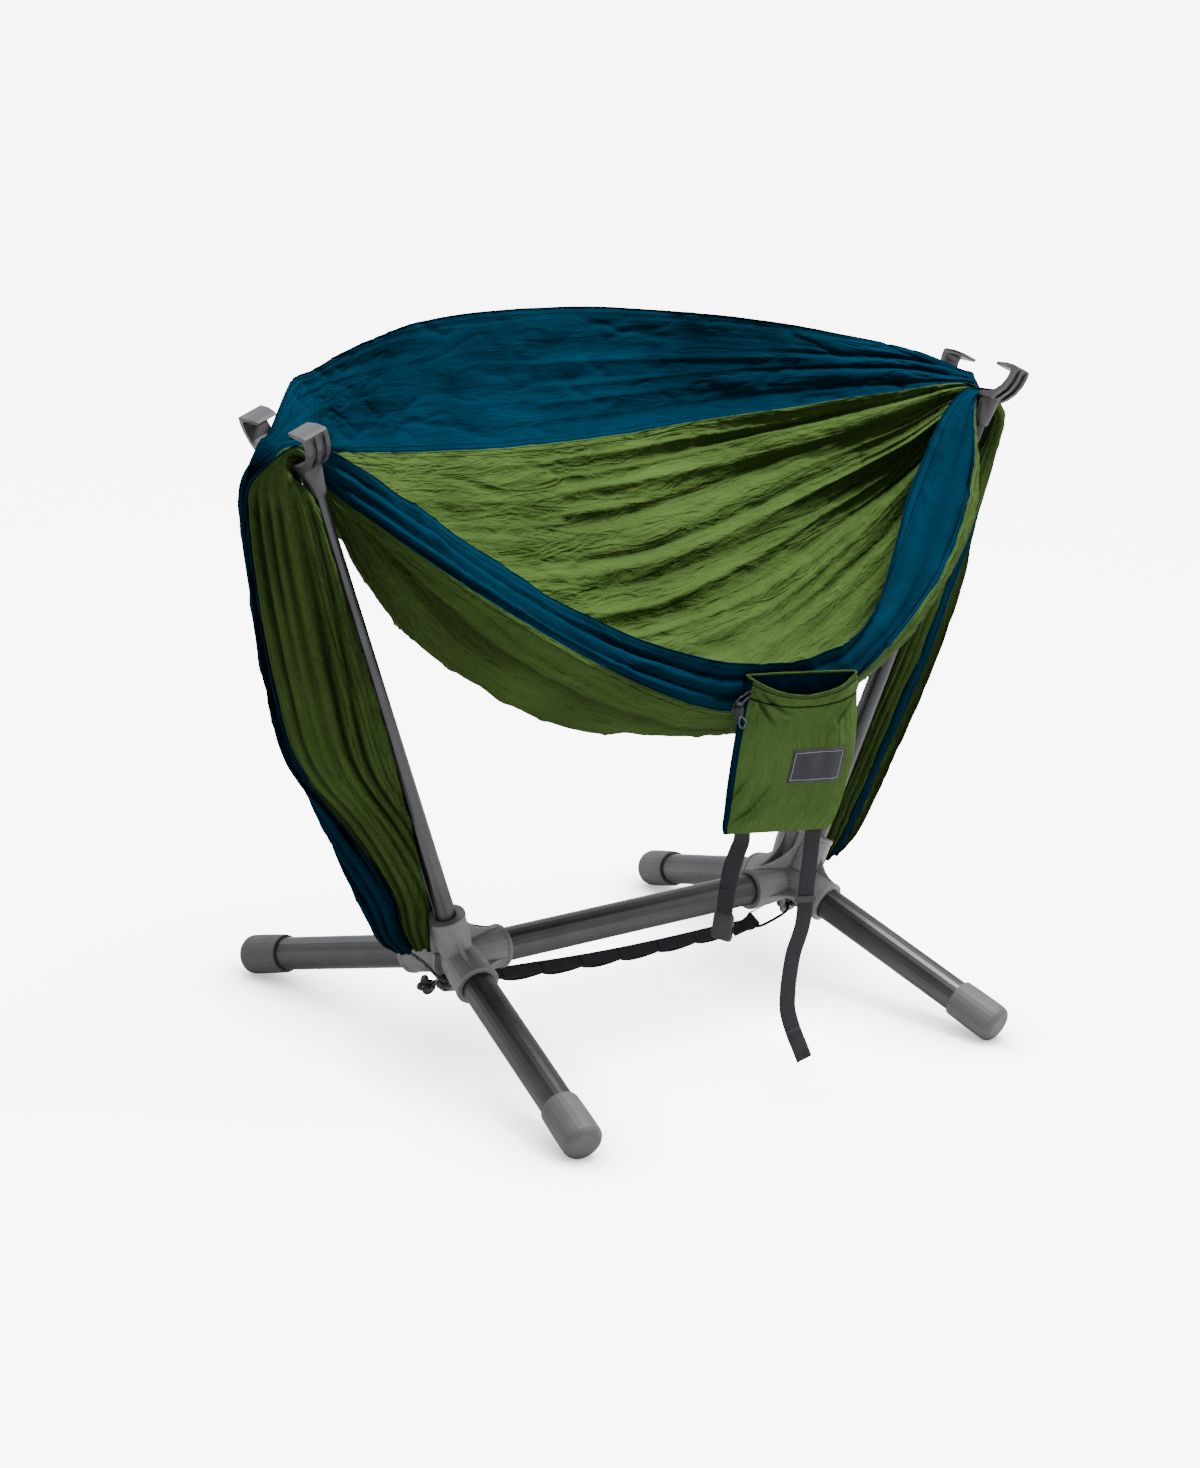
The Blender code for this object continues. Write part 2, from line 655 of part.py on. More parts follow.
# Hammock. The cloth is one surface through seven lines that run from end to end;
# each line is given from mid-span to the hook, as (sideways, above the hook base).
BED_STATIONS = (0.0, 0.186, 0.357, 0.512, 0.667, 0.775, 0.868, 0.940)
BED_LINES = {
    "near_hem": ((-0.305, -0.280), (-0.292, -0.266), (-0.240, -0.232), (-0.168, -0.179),
                 (-0.104, -0.108), (-0.066, -0.054), (-0.040, -0.012), (-0.0276, 0.014)),
    "near_seam": ((-0.292, -0.352), (-0.284, -0.337), (-0.268, -0.295), (-0.240, -0.243),
                  (-0.194, -0.180), (-0.146, -0.130), (-0.078, -0.078), (-0.013, -0.030)),
    "near_face": ((-0.228, -0.402), (-0.224, -0.388), (-0.208, -0.356), (-0.182, -0.305),
                  (-0.146, -0.243), (-0.110, -0.190), (-0.058, -0.124), (-0.016, -0.056)),
    "belly_near": ((-0.115, -0.414), (-0.112, -0.405), (-0.105, -0.388), (-0.090, -0.345),
                   (-0.075, -0.287), (-0.058, -0.233), (-0.032, -0.158), (-0.015, -0.078)),
    "belly_far": ((0.095, -0.362), (0.095, -0.357), (0.090, -0.334), (0.082, -0.297),
                  (0.068, -0.237), (0.052, -0.187), (0.028, -0.124), (0.008, -0.056)),
    "far_seam": ((0.255, -0.080), (0.262, -0.080), (0.268, -0.076), (0.245, -0.064),
                 (0.190, -0.044), (0.135, -0.023), (0.078, -0.004), (0.0336, 0.012)),
    "far_middle": ((0.310, 0.012), (0.312, 0.010), (0.304, 0.010), (0.266, 0.016),
                   (0.208, 0.024), (0.154, 0.030), (0.104, 0.034), (0.052, 0.034)),
    "far_hem": ((0.340, 0.111), (0.340, 0.108), (0.321, 0.101), (0.270, 0.096),
                (0.220, 0.086), (0.170, 0.075), (0.124, 0.064), (0.074, 0.052)),
}
LINES = tuple(BED_LINES)

# Where the lines pass between the two hooks: (sideways, up the pole axis) halfway
# over the hooks and where they leave them on the outside
HOOK_PASS = {"near_hem": ((-0.0348, 0.037), (-0.026, 0.031)),
             "near_seam": ((-0.016, 0.004), (-0.016, 0.012)),
             "near_face": ((-0.013, -0.016), (-0.013, 0.000)),
             "belly_near": ((-0.008, -0.030), (-0.009, -0.006)),
             "belly_far": ((0.004, -0.022), (0.002, -0.004)),
             "far_seam": ((0.0180, 0.014), (0.012, 0.012)),
             "far_middle": ((0.026, 0.026), (0.024, 0.024)),
             "far_hem": ((0.042, 0.033), (0.034, 0.030))}
HOOK_EXIT = 0.023

# Past the hooks the cloth drapes down outside the poles to the hub. Each row gives
# the height as a share of the rise from the neck to the hook base, how far the inner
# face stands off the poles, the ridge's distance from the pole axis, the half width.
DRAPE_ROWS = ((0.955, 0.016, 0.079, 0.032), (0.86, 0.008, 0.108, 0.037),
              (0.73, 0.006, 0.136, 0.040), (0.58, 0.006, 0.158, 0.040),
              (0.42, 0.006, 0.168, 0.037), (0.27, 0.006, 0.158, 0.031),
              (0.13, 0.009, 0.132, 0.024), (0.045, 0.018, 0.104, 0.017),
              (0.0, 0.022, 0.082, 0.013))
# Place of each line in a drape's section, as shares of depth and half width, above
# and below the heights that follow it
LEFT_DRAPE = ({"near_hem": (0.80, 0.15), "near_seam": (0.88, -0.36), "near_face": (0.45, -0.98),
               "belly_near": (0.02, -0.72), "belly_far": (0.05, 0.72), "far_seam": (0.55, 0.95),
               "far_middle": (0.86, 0.62), "far_hem": (1.00, -0.05)},
              {"near_hem": (0.30, 0.20), "near_seam": (0.45, -0.25), "near_face": (0.22, -0.70),
               "belly_near": (0.02, -0.45), "belly_far": (0.05, 0.45), "far_seam": (0.50, 0.95),
               "far_middle": (1.00, 0.10), "far_hem": (0.42, -1.00)}, 0.34, 0.06)
RIGHT_DRAPE = ({"near_hem": (0.82, -0.55), "near_seam": (0.60, -0.92), "near_face": (0.32, -0.98),
                "belly_near": (0.02, -0.72), "belly_far": (0.08, 0.60), "far_seam": (0.98, 0.15),
                "far_middle": (0.84, 0.70), "far_hem": (0.45, 0.95)},
               {"near_hem": (0.57, -0.72), "near_seam": (0.24, -1.0), "near_face": (0.10, -0.90),
                "belly_near": (0.00, -0.50), "belly_far": (0.08, 0.60), "far_seam": (1.00, 0.20),
                "far_middle": (0.86, 0.72), "far_hem": (0.45, 0.95)}, 0.85, 0.45)
NECK_ABOVE_HUB = 0.012


def pole_axis_x(z):
    """Distance from the middle to the pole axes at a height."""
    share = (z - HUB_Z) / POLE_RISE
    return HUB_X + POLE_FOOT_OUT + POLE_LEAN * share


def drape_place(name, side, share):
    """Depth and width shares of one line at a height in the drape of one end."""
    above, below, start, stop = LEFT_DRAPE if side < 0 else RIGHT_DRAPE
    t = min(max((share - stop) / (start - stop), 0.0), 1.0)
    t = t * t * (3 - 2 * t)
    upper = above[name]
    lower = below[name]
    return tuple(low + (high - low) * t for low, high in zip(lower, upper))


def line_points(name, side):
    """One line of the cloth from mid-span to its gathered end."""
    points = []
    for share, (sideways, above) in zip(BED_STATIONS, BED_LINES[name]):
        points.append((side * HOOK_X * share, sideways, HOOK_Z + above))
    lean = math.atan2(POLE_LEAN, POLE_RISE)
    for (sideways, up), past in zip(HOOK_PASS[name], (0.0, HOOK_EXIT)):
        x = HOOK_X + past * math.cos(lean) + up * math.sin(lean)
        z = HOOK_Z - past * math.sin(lean) + up * math.cos(lean)
        points.append((side * x, sideways, z))
    neck = HUB_Z + NECK_ABOVE_HUB
    for share, stand_off, ridge, half in DRAPE_ROWS:
        z = neck + (HOOK_Z - neck) * share
        depth, width = drape_place(name, side, share)
        inner = pole_radius((z - HUB_Z) / POLE_RISE * POLE_LENGTH) + stand_off
        x = pole_axis_x(z) + inner + (ridge - inner) * depth
        points.append((side * x, width * half, z))
    return points


def full_line(name):
    """One line from gathered end to gathered end, finer over the bed than below it."""
    halves = []
    for side in (-1, 1):
        points = line_points(name, side)
        bed = len(BED_STATIONS) + 2
        path = smooth_path(points, 2)
        halves.append(np.vstack([path[:2 * bed], path[2 * bed::2]]))
    return np.vstack([halves[0][::-1][:-1], halves[1]])


def fold_depth():
    """How deep the folds are on each row, from 0 where the hooks hold the cloth."""
    bed = len(BED_STATIONS) - 1
    fine = 2 * (bed + 3)
    last = bed + 2 + len(DRAPE_ROWS)
    place = list(np.arange(fine) / 2) + list(range(bed + 3, last + 1))
    keys = (0.0, bed * 0.5, bed - 1.5, bed - 0.2, bed + 2.2, bed + 4.5, last - 2.0, last)
    depth = (0.30, 0.75, 0.70, 0.02, 0.02, 0.60, 0.30, 0.0)
    half = FOLD_DEPTH * np.interp(place, keys, depth)
    return np.concatenate([half[::-1][:-1], half])


def across_path(points):
    """Smooth line across the cloth through one point of each line."""
    fine = smooth_path(points, 6)
    places = []
    for k, columns in enumerate(CLOTH_COLUMNS):
        places += [6 * (k + j / columns) for j in range(columns)]
    places.append(6 * len(CLOTH_COLUMNS))
    index = np.arange(len(fine))
    return np.stack([np.interp(places, index, fine[:, k]) for k in range(3)], axis=1)


def cloth_surface():
    """Grid of points: along the cloth, then across it from near hem to far hem."""
    lines = np.array([full_line(name) for name in LINES])
    grid = np.array([across_path(lines[:, row]) for row in range(lines.shape[1])])
    along = np.gradient(grid, axis=0)
    across = np.gradient(grid, axis=1)
    normal = np.cross(along, across)
    normal /= np.linalg.norm(normal, axis=2)[:, :, None] + 1e-12
    place = np.linspace(0.0, 1.0, grid.shape[1])
    wave = np.sin(2 * np.pi * FOLD_COUNT * place + 0.6)
    drift = 0.5 * np.sin(2 * np.pi * 1.5 * place + 1.7)
    depth = fold_depth()
    shift = depth[:, None] * (wave + drift)[None, :]
    return grid + normal * shift[:, :, None], normal


def make_panel(name, grid, normal, first, last, trim, finish):
    """One panel as a closed thin solid between two columns of the surface."""
    count = last - first + 1
    start_trim, stop_trim = trim
    points = grid[:, first:last + 1].copy()
    facing = normal[:, first:last + 1]
    for column, other, amount in ((0, 1, start_trim), (count - 1, count - 2, stop_trim)):
        way = points[:, other] - points[:, column]
        length = np.linalg.norm(way, axis=1)[:, None]
        points[:, column] += way / length * np.minimum(amount, length * 0.4)
    half = CLOTH_THICKNESS / 2
    rows = points.shape[0]
    top = (points + facing * half).reshape(-1, 3)
    bottom = (points - facing * half).reshape(-1, 3)
    verts = np.vstack([top, bottom])
    below = len(top)
    faces = []
    for i in range(rows - 1):
        for j in range(count - 1):
            a = i * count + j
            quad = (a, a + 1, a + 1 + count, a + count)
            faces.append(quad)
            faces.append(tuple(below + k for k in reversed(quad)))
    border = [j for j in range(count)]
    border += [i * count + count - 1 for i in range(1, rows)]
    border += [(rows - 1) * count + j for j in range(count - 2, -1, -1)]
    border += [i * count for i in range(rows - 2, 0, -1)]
    for k, a in enumerate(border):
        b = border[(k + 1) % len(border)]
        faces.append((a, below + a, below + b, b))
    made = new_object(name, [tuple(v) for v in verts], faces, finish, split=True)
    return smooth(made, math.radians(60))


def make_hammock(mats):
    grid, normal = cloth_surface()
    seam_near = sum(CLOTH_COLUMNS[:LINES.index("near_seam")])
    seam_far = sum(CLOTH_COLUMNS[:LINES.index("far_seam")])
    last = sum(CLOTH_COLUMNS)
    gap = CLOTH_GAP / 2
    make_panel("panel_near", grid, normal, 0, seam_near, (0.0, gap), mats["teal"])
    make_panel("panel_centre", grid, normal, seam_near, seam_far, (gap, gap), mats["green"])
    make_panel("panel_far", grid, normal, seam_far, last, (gap, 0.0), mats["teal"])


# Cords at the gathered ends

def gathered_end(side):
    """Middle of the gathered end of the cloth."""
    neck = HUB_Z + NECK_ABOVE_HUB
    _, stand_off, ridge, _ = DRAPE_ROWS[-1]
    inner = pole_radius((neck - HUB_Z) / POLE_RISE * POLE_LENGTH) + stand_off
    return Vector((side * (pole_axis_x(neck) + (inner + ridge) / 2), 0.0, neck))


def make_end_cord(name, side, finish):
    """Cord from under the gathered cloth through the lug's eye, knotted behind it."""
    end = gathered_end(side)
    eye = cord_eye_centre(side) + Vector((0.0, 0.0, EYE_LIFT))
    start = end + Vector((0.0, 0.0, CORD_LIFT[side] - END_CORD_RADIUS))
    away = Vector((float(side), 0.0, 0.0))
    points = [start + away * 0.012, start + away * 0.002 + Vector((0.0, 0.0, -0.001)),
              start + (eye - start) * 0.30 + Vector((0.0, -0.010, 0.0)),
              start + (eye - start) * 0.70 + Vector((0.0, -0.016, 0.0)) + away * 0.003,
              eye + Vector((0.0, -0.012, 0.003)), eye + Vector((0.0, -0.004, 0.0)),
              eye + Vector((0.0, 0.006, 0.0)), eye + Vector((0.0, 0.012, -0.003)) + away * 0.002,
              eye + Vector((0.0, 0.020, -0.008)) + away * 0.006,
              eye + Vector((0.0, 0.028, -0.015)) + away * 0.010]
    path = smooth_path(points, 4)
    radii = np.full(len(path), END_CORD_RADIUS)
    for middle, size in ((29, 0.0052), (32.5, 0.0056)):
        bump = np.exp(-((np.arange(len(path)) - middle) / 1.3) ** 2)
        radii = np.maximum(radii, END_CORD_RADIUS + (size - END_CORD_RADIUS) * bump)
    return smooth(tube_along(name, path, radii, 8, finish), math.radians(60))


# Strap under the spine

def strap_centre(side):
    """Centre of the strap's end loop: the lug's rim on the left, the clip on the right."""
    slot = lug_slot_centre(-1)
    if side < 0:
        return Vector((slot.x + LUG_SLOT[0] + 0.0030, 0.0, slot.z))
    slot_wire, along, _ = clip_frame()
    return slot_wire + along * (CLIP_LENGTH - 0.0030)


def clip_frame():
    """Clip's place: wire centre in the lug, way along the clip, way across it."""
    slot = lug_slot_centre(1) + Vector((0.0006, 0.0, 0.0))
    target = Vector((slot.x - CLIP_LENGTH, 0.0, HUB_Z - DAISY_RIGHT_DROP))
    along = (target - slot).normalized()
    across = Vector((0.0, math.cos(CLIP_TILT), math.sin(CLIP_TILT)))
    across = (across - along * across.dot(along)).normalized()
    return slot, along, across


def end_loop(centre, along, axis, radius):
    """Path of a strap's end: sewn-back tail, round the bar, then on to the strap."""
    along = (along - axis * along.dot(axis)).normalized()
    beside = axis.cross(along)
    half = DAISY_THICKNESS / 2 + 0.0002
    points = [centre + along * (radius + TAIL) - beside * half * 2,
              centre + along * (radius + TAIL * 0.55) - beside * half * 2,
              centre + along * (radius + 0.009) - beside * half * 2]
    for turn in np.radians(np.linspace(-60, -300, 13)):
        points.append(centre + along * (radius * math.cos(turn)) + beside * (radius * math.sin(turn)))
    points.append(centre + along * (radius + 0.009))
    return points


def strap_run(t):
    """Middle of the strap between its two straight ends, sagging a little."""
    begin = Vector((strap_centre(-1).x + 0.085, 0.0, HUB_Z - DAISY_LEFT_DROP))
    stop = Vector((strap_centre(1).x - 0.045, 0.0, HUB_Z - DAISY_RIGHT_DROP - 0.001))
    return begin + (stop - begin) * t - Vector((0.0, 0.0, DAISY_SAG * math.sin(math.pi * t)))


def make_strap(name, finish):
    """Webbing with end loops and a row of sagging loops sewn under it."""
    left = strap_centre(-1)
    right = strap_centre(1)
    clip_across = clip_frame()[2]
    upright = Vector((0.0, 0.0, 1.0))
    down = Vector((0.0, 0.71, -0.71))
    width_way = Vector((0.0, 0.71, 0.71))
    head = end_loop(left, (strap_run(0.0) - left).normalized(), upright, LUG_LOOP_RADIUS)
    tail = end_loop(right, (strap_run(1.0) - right).normalized(), clip_across, CLIP_LOOP_RADIUS)
    middle = [strap_run(t) for t in np.linspace(0.0, 1.0, 9)]
    path = head + middle + tail[::-1]
    ways = [upright] * len(head) + [width_way] * len(middle) + [clip_across] * len(tail)
    widths = [DAISY_NECK] * len(head) + [DAISY_WIDTH] * (len(middle) + len(tail))
    strap = ribbon_along(name, path, ways, widths, DAISY_THICKNESS, finish)
    for k in range(DAISY_LOOPS):
        loop = []
        for local in np.linspace(0.0, 1.0, 11):
            sag = max(math.sin(math.pi * local), 0.0) ** 0.8
            spot = strap_run((k + local) / DAISY_LOOPS)
            loop.append(spot + down * (DAISY_THICKNESS * 0.75 + LOOP_SAG * sag))
        combine(strap, ribbon_along("loop", loop, width_way, DAISY_WIDTH, DAISY_THICKNESS, None),
                "UNION")
    return smooth(dress(strap, finish))


def clip_point(u, v):
    """A point of the clip: distance from the wire in the lug, then across."""
    slot, along, across = clip_frame()
    return slot + along * u + across * v


def clip_outline(start, stop, steps):
    """Centre line of the clip's wire, an oval, by angle from the lug end."""
    half = CLIP_WIDTH / 2
    straight = CLIP_LENGTH / 2 - half
    points = []
    for turn in np.radians(np.linspace(start, stop, steps)):
        c = math.cos(turn)
        s = math.sin(turn)
        shift = straight * math.tanh(3.0 * c) / math.tanh(3.0)
        points.append(clip_point(CLIP_LENGTH / 2 - shift - half * c, half * s))
    return points


def make_clip(name, finish):
    """Body: most of an oval of wire, open where the gate closes it."""
    path = clip_outline(GATE_HINGE, 360.0 + GATE_NOSE, 40)
    radii = np.full(len(path), CLIP_WIRE_RADIUS)
    return smooth(tube_along(name, path, radii, 10, finish), math.radians(60))


def make_gate(name, finish):
    """Wire gate: a long loop of thin wire from its hinge pin to inside the nose."""
    end = Vector(clip_outline(GATE_HINGE, GATE_HINGE + 1, 2)[0])
    nose = Vector(clip_outline(GATE_NOSE, GATE_NOSE + 1, 2)[0])
    _, along, across = clip_frame()
    normal = along.cross(across)
    way = (nose - end).normalized()
    side = CLIP_WIRE_RADIUS * 0.62
    start = end + way * GATE_PIN_STEP
    stop = nose - way * (GATE_WIRE_RADIUS + 0.0008)
    points = [start + normal * side, start + way * 0.004 + normal * side,
              (start + stop) / 2 + normal * side, stop - way * 0.004 + normal * side,
              stop, stop - way * 0.004 - normal * side, (start + stop) / 2 - normal * side,
              start + way * 0.004 - normal * side, start - normal * side]
    path = smooth_path(points, 3)
    gate = tube_along(name, path, np.full(len(path), GATE_WIRE_RADIUS), 8, None)
    half = side + GATE_WIRE_RADIUS + 0.0003
    pin = ((0.0, -half), (GATE_PIN_RADIUS, -half), (GATE_PIN_RADIUS, half), (0.0, half))
    combine(gate, revolve("pin", pin, frame_along(start, normal, way), 16), "UNION")
    smooth(dress(gate, finish), math.radians(60))
    return set_origin(gate, start)


# Stuff sack

def sack_frame():
    """Middle of the mouth, way along the mouth, way out of the front, way down."""
    top = HOOK_Z + BED_LINES["near_hem"][0][1] - SACK_BELOW_HEM
    along = Vector((math.cos(SACK_TURN), math.sin(SACK_TURN), 0.0))
    front = Vector((math.sin(SACK_TURN), -math.cos(SACK_TURN), 0.0))
    return Vector((*SACK_CENTRE, top)), along, front, Vector((0.0, 0.0, -1.0))


# Level below the mouth as a share of the height, half width, bulge of the front and
# of the back, and shift to the right, all of the outside
SACK_LEVELS = ((0.00, 0.084, 0.024, 0.004, 0.001), (0.05, 0.086, 0.022, 0.004, 0.002),
               (0.14, 0.088, 0.021, 0.005, 0.001), (0.32, 0.092, 0.020, 0.006, 0.001),
               (0.52, 0.094, 0.019, 0.006, -0.001), (0.72, 0.092, 0.016, 0.006, -0.006),
               (0.86, 0.089, 0.012, 0.005, -0.010), (0.95, 0.086, 0.007, 0.003, -0.014),
               (1.00, 0.081, 0.0018, 0.0014, -0.016))


def sack_loop(share, half, bulge, back, shift, inset):
    """One closed loop round the sack at a level, drawn in by the cloth's thickness."""
    top, along, front, down = sack_frame()
    points = []
    for face, depth in ((1, bulge), (-1, back)):
        for k in range(SACK_COLUMNS):
            turn = math.pi * k / SACK_COLUMNS
            a = -math.cos(turn) * face
            lens = math.sin(turn) ** 0.8
            sag = MOUTH_SAG * (1 - a * a) * max(1 - share / 0.3, 0.0) if face > 0 else 0.0
            level = share * SACK_HEIGHT + sag
            points.append(top + along * (shift + a * (half - inset)) + down * level
                          + front * face * (depth - inset) * lens)
    return points


def make_sack(name, finish):
    """Pouch with an open mouth, thin walls and a closed bottom seam."""
    outer = [sack_loop(*row, 0.0) for row in reversed(SACK_LEVELS)]
    inner = [sack_loop(*row, SACK_WALL) for row in SACK_LEVELS[:-2]]
    last = SACK_LEVELS[-2]
    inner.append(sack_loop(last[0] - 0.01, last[1] - 0.006, last[2] * 0.7, last[3] * 0.9,
                           last[4], SACK_WALL * 0.6))
    return smooth(loft(name, outer + inner, finish), math.radians(50))


def sack_front(a, share):
    """Point and outward way on the sack's front at a width share and a level."""
    rows = np.array(SACK_LEVELS)
    half, bulge, shift = (np.interp(share, rows[:, 0], rows[:, k]) for k in (1, 2, 4))
    top, along, front, down = sack_frame()
    reach = a / half
    depth = bulge * (1 - reach * reach) ** 0.4
    return top + along * (shift + a) + down * (share * SACK_HEIGHT) + front * depth


def make_patch(name, finish):
    """Blank patch sewn on the front, to the right of its middle."""
    front = sack_frame()[2]
    upper = PATCH_BELOW / SACK_HEIGHT
    lower = upper + PATCH_HEIGHT / SACK_HEIGHT
    places = np.linspace(PATCH_ASIDE - PATCH_WIDTH / 2, PATCH_ASIDE + PATCH_WIDTH / 2, 13)
    loops = []
    for share in np.linspace(lower, upper, 7):
        loop = [sack_front(a, share) + front * PATCH_LIFT[0] for a in places]
        loop += [sack_front(a, share) + front * PATCH_LIFT[1] for a in places[::-1]]
        loops.append(loop)
    return smooth(loft(name, loops, finish))


def strap_path(points):
    """Route of a hanging strap, plumb where it leaves the seam."""
    path = smooth_path([Vector(p) for p in points], 4)
    path[1, :2] = path[0, :2]
    return path


def make_long_strap(name, finish):
    """Webbing hanging from the sack's bottom right, its end sewn back double."""
    path = strap_path(long_strap_points())
    _, along, front, _ = sack_frame()
    strap = ribbon_along(name, path, along, STRAP_WIDTH, STRAP_THICKNESS, finish)
    pad = path[-9:-1] + np.array(front) * (STRAP_THICKNESS * 0.8)
    combine(strap, ribbon_along("pad", pad, along, STRAP_WIDTH - 0.0004, STRAP_THICKNESS, None),
            "UNION")
    return smooth(dress(strap, finish))


def sack_bottom(a):
    """Point just under the bottom seam, a metres from its middle."""
    top, along, _, down = sack_frame()
    shift = SACK_LEVELS[-1][4]
    return top + along * (shift + a) + down * (SACK_HEIGHT + SEAT_GAP)


def long_strap_points():
    """Route of the long strap: straight through the slider, then a shallow S."""
    start = sack_bottom(LONG_STRAP_ASIDE)
    fall = start.z - FLOOR_CLEARANCE
    _, along, front, _ = sack_frame()
    rows = ((0.0, 0.0, 0.0), (0.10, -0.0008, 0.0004), (0.20, -0.0016, 0.0008),
            (0.30, -0.0024, 0.0012), (0.40, -0.0032, 0.0016), (0.46, -0.0080, 0.0030),
            (0.53, -0.0150, 0.0045), (0.62, -0.0185, 0.0060), (0.71, -0.0190, 0.0060),
            (0.79, -0.0160, 0.0050), (0.88, -0.0055, 0.0080), (0.94, 0.0035, 0.0120),
            (1.0, 0.0120, 0.0170))
    return [start + along * a + front * f + Vector((0.0, 0.0, -fall * t)) for t, a, f in rows]


def slider_frame():
    """Slider's place on the straight part of the long strap."""
    points = long_strap_points()
    way = (points[4] - points[1]).normalized()
    along = sack_frame()[1]
    across = (along - way * along.dot(way)).normalized()
    return points[3], across, way.cross(across), way


def make_slider(name, finish):
    """Flat ring that the long strap runs through."""
    frame = slider_frame()
    wide = STRAP_WIDTH / 2 + 0.0031
    deep = SLIDER_DEPTH / 2
    ring = [(wide, deep - 0.001), (wide - 0.001, deep), (-wide + 0.001, deep), (-wide, deep - 0.001),
            (-wide, -deep + 0.001), (-wide + 0.001, -deep), (wide - 0.001, -deep),
            (wide, -deep + 0.001)]
    half = SLIDER_LENGTH / 2
    body = loft(name, [[at(frame, a, b, h) for a, b in ring] for h in (-half, half)])
    inner_wide = STRAP_WIDTH / 2 + 0.0006
    inner_deep = STRAP_THICKNESS / 2 + 0.0005
    hole = [(inner_wide, inner_deep), (-inner_wide, inner_deep), (-inner_wide, -inner_deep),
            (inner_wide, -inner_deep)]
    cutter = loft("cut", [[at(frame, a, b, h) for a, b in hole] for h in (-half * 2, half * 2)])
    combine(body, cutter, "DIFFERENCE")
    return set_origin(smooth(dress(body, finish)), frame[0])


def short_strap_points():
    """Route of the short strap from the sack's bottom left to the buckle socket."""
    start = sack_bottom(SHORT_STRAP_ASIDE)
    _, along, front, _ = sack_frame()
    rows = ((0.0, 0.0, 0.0), (0.006, 0.0, 0.0), (0.013, -0.0005, 0.0), (0.026, -0.006, 0.002),
            (0.050, -0.014, 0.005), (0.076, -0.018, 0.007), (0.100, -0.020, 0.008),
            (0.114, -0.0205, 0.008))
    return [start + along * a + front * f + Vector((0.0, 0.0, -t)) for t, a, f in rows]


def short_strap_ways():
    """The short strap turns edge-on to the camera as it falls."""
    _, along, front, _ = sack_frame()
    count = len(strap_path(short_strap_points()))
    ways = []
    for t in np.linspace(0.0, 1.0, count):
        turn = SHORT_STRAP_TURN * t
        ways.append(along * math.cos(turn) + front * math.sin(turn))
    return ways


def make_short_strap(name, finish):
    path = strap_path(short_strap_points())
    return smooth(ribbon_along(name, path, short_strap_ways(), STRAP_WIDTH, STRAP_THICKNESS, finish))


def make_socket(name, finish):
    """Side-release socket: strap bar end above, open mouth below, side windows."""
    points = short_strap_points()
    way = (points[-1] - points[-2]).normalized()
    across = short_strap_ways()[-1]
    across = (across - way * across.dot(way)).normalized()
    frame = (points[-1] + way * SEAT_GAP, across, way.cross(across), way)
    rings = ((0.0, 0.0140, 0.0030), (0.004, 0.0155, 0.0040), (0.012, 0.0158, 0.0048),
             (SOCKET_LENGTH - 0.006, 0.0162, 0.0052), (SOCKET_LENGTH - 0.0015, 0.0150, 0.0046),
             (SOCKET_LENGTH, 0.0140, 0.0040))
    loops = []
    for s, wide, deep in rings:
        loop = []
        for k in range(20):
            turn = 2 * math.pi * k / 20
            c = math.cos(turn)
            q = math.sin(turn)
            loop.append(at(frame, math.copysign(abs(c) ** 0.4, c) * wide,
                           math.copysign(abs(q) ** 0.5, q) * deep, s))
        loops.append(loop)
    body = loft(name, loops)
    mouth = [(0.0118, 0.0031), (-0.0118, 0.0031), (-0.0118, -0.0031), (0.0118, -0.0031)]
    deep = (0.012, SOCKET_LENGTH + 0.01)
    combine(body, loft("cut", [[at(frame, a, b, s) for a, b in mouth] for s in deep]),
            "DIFFERENCE")
    window = [(0.03, 0.0022), (-0.03, 0.0022), (-0.03, -0.0022), (0.03, -0.0022)]
    combine(body, loft("cut", [[at(frame, a, b, s) for a, b in window] for s in (0.017, 0.029)]),
            "DIFFERENCE")
    return smooth(dress(body, finish))


# Cord lock at the sack's left corner

def lock_frame():
    """Middle of the lock's foot, then ways across, out of the front, and up."""
    top, along, front, _ = sack_frame()
    aside, out, rise = LOCK_PLACE
    spot = top + along * aside + front * out + Vector((0.0, 0.0, rise))
    return spot, along, front, Vector((0.0, 0.0, 1.0))


def make_lock(name, finish):
    """Round barrel with a blind bore for the button and a slot for the cord."""
    frame = lock_frame()
    profile = ((0.0, 0.0), (LOCK_RADIUS - 0.001, 0.0), (LOCK_RADIUS, 0.001),
               (LOCK_RADIUS, LOCK_HEIGHT), (LOCK_BORE, LOCK_HEIGHT), (LOCK_BORE, LOCK_FLOOR),
               (0.0, LOCK_FLOOR))
    body = revolve(name, profile, frame, 16)
    wide = DRAW_CORD_RADIUS * 2 + 0.0008
    high = DRAW_CORD_RADIUS + 0.0005
    slot = [(wide, high), (-wide, high), (-wide, -high), (wide, -high)]
    reach = LOCK_RADIUS * 2
    loops = [[at(frame, a, s, LOCK_SLOT_LEVEL + b) for a, b in slot] for s in (-reach, reach)]
    combine(body, loft("cut", loops), "DIFFERENCE")
    return smooth(dress(body, finish))


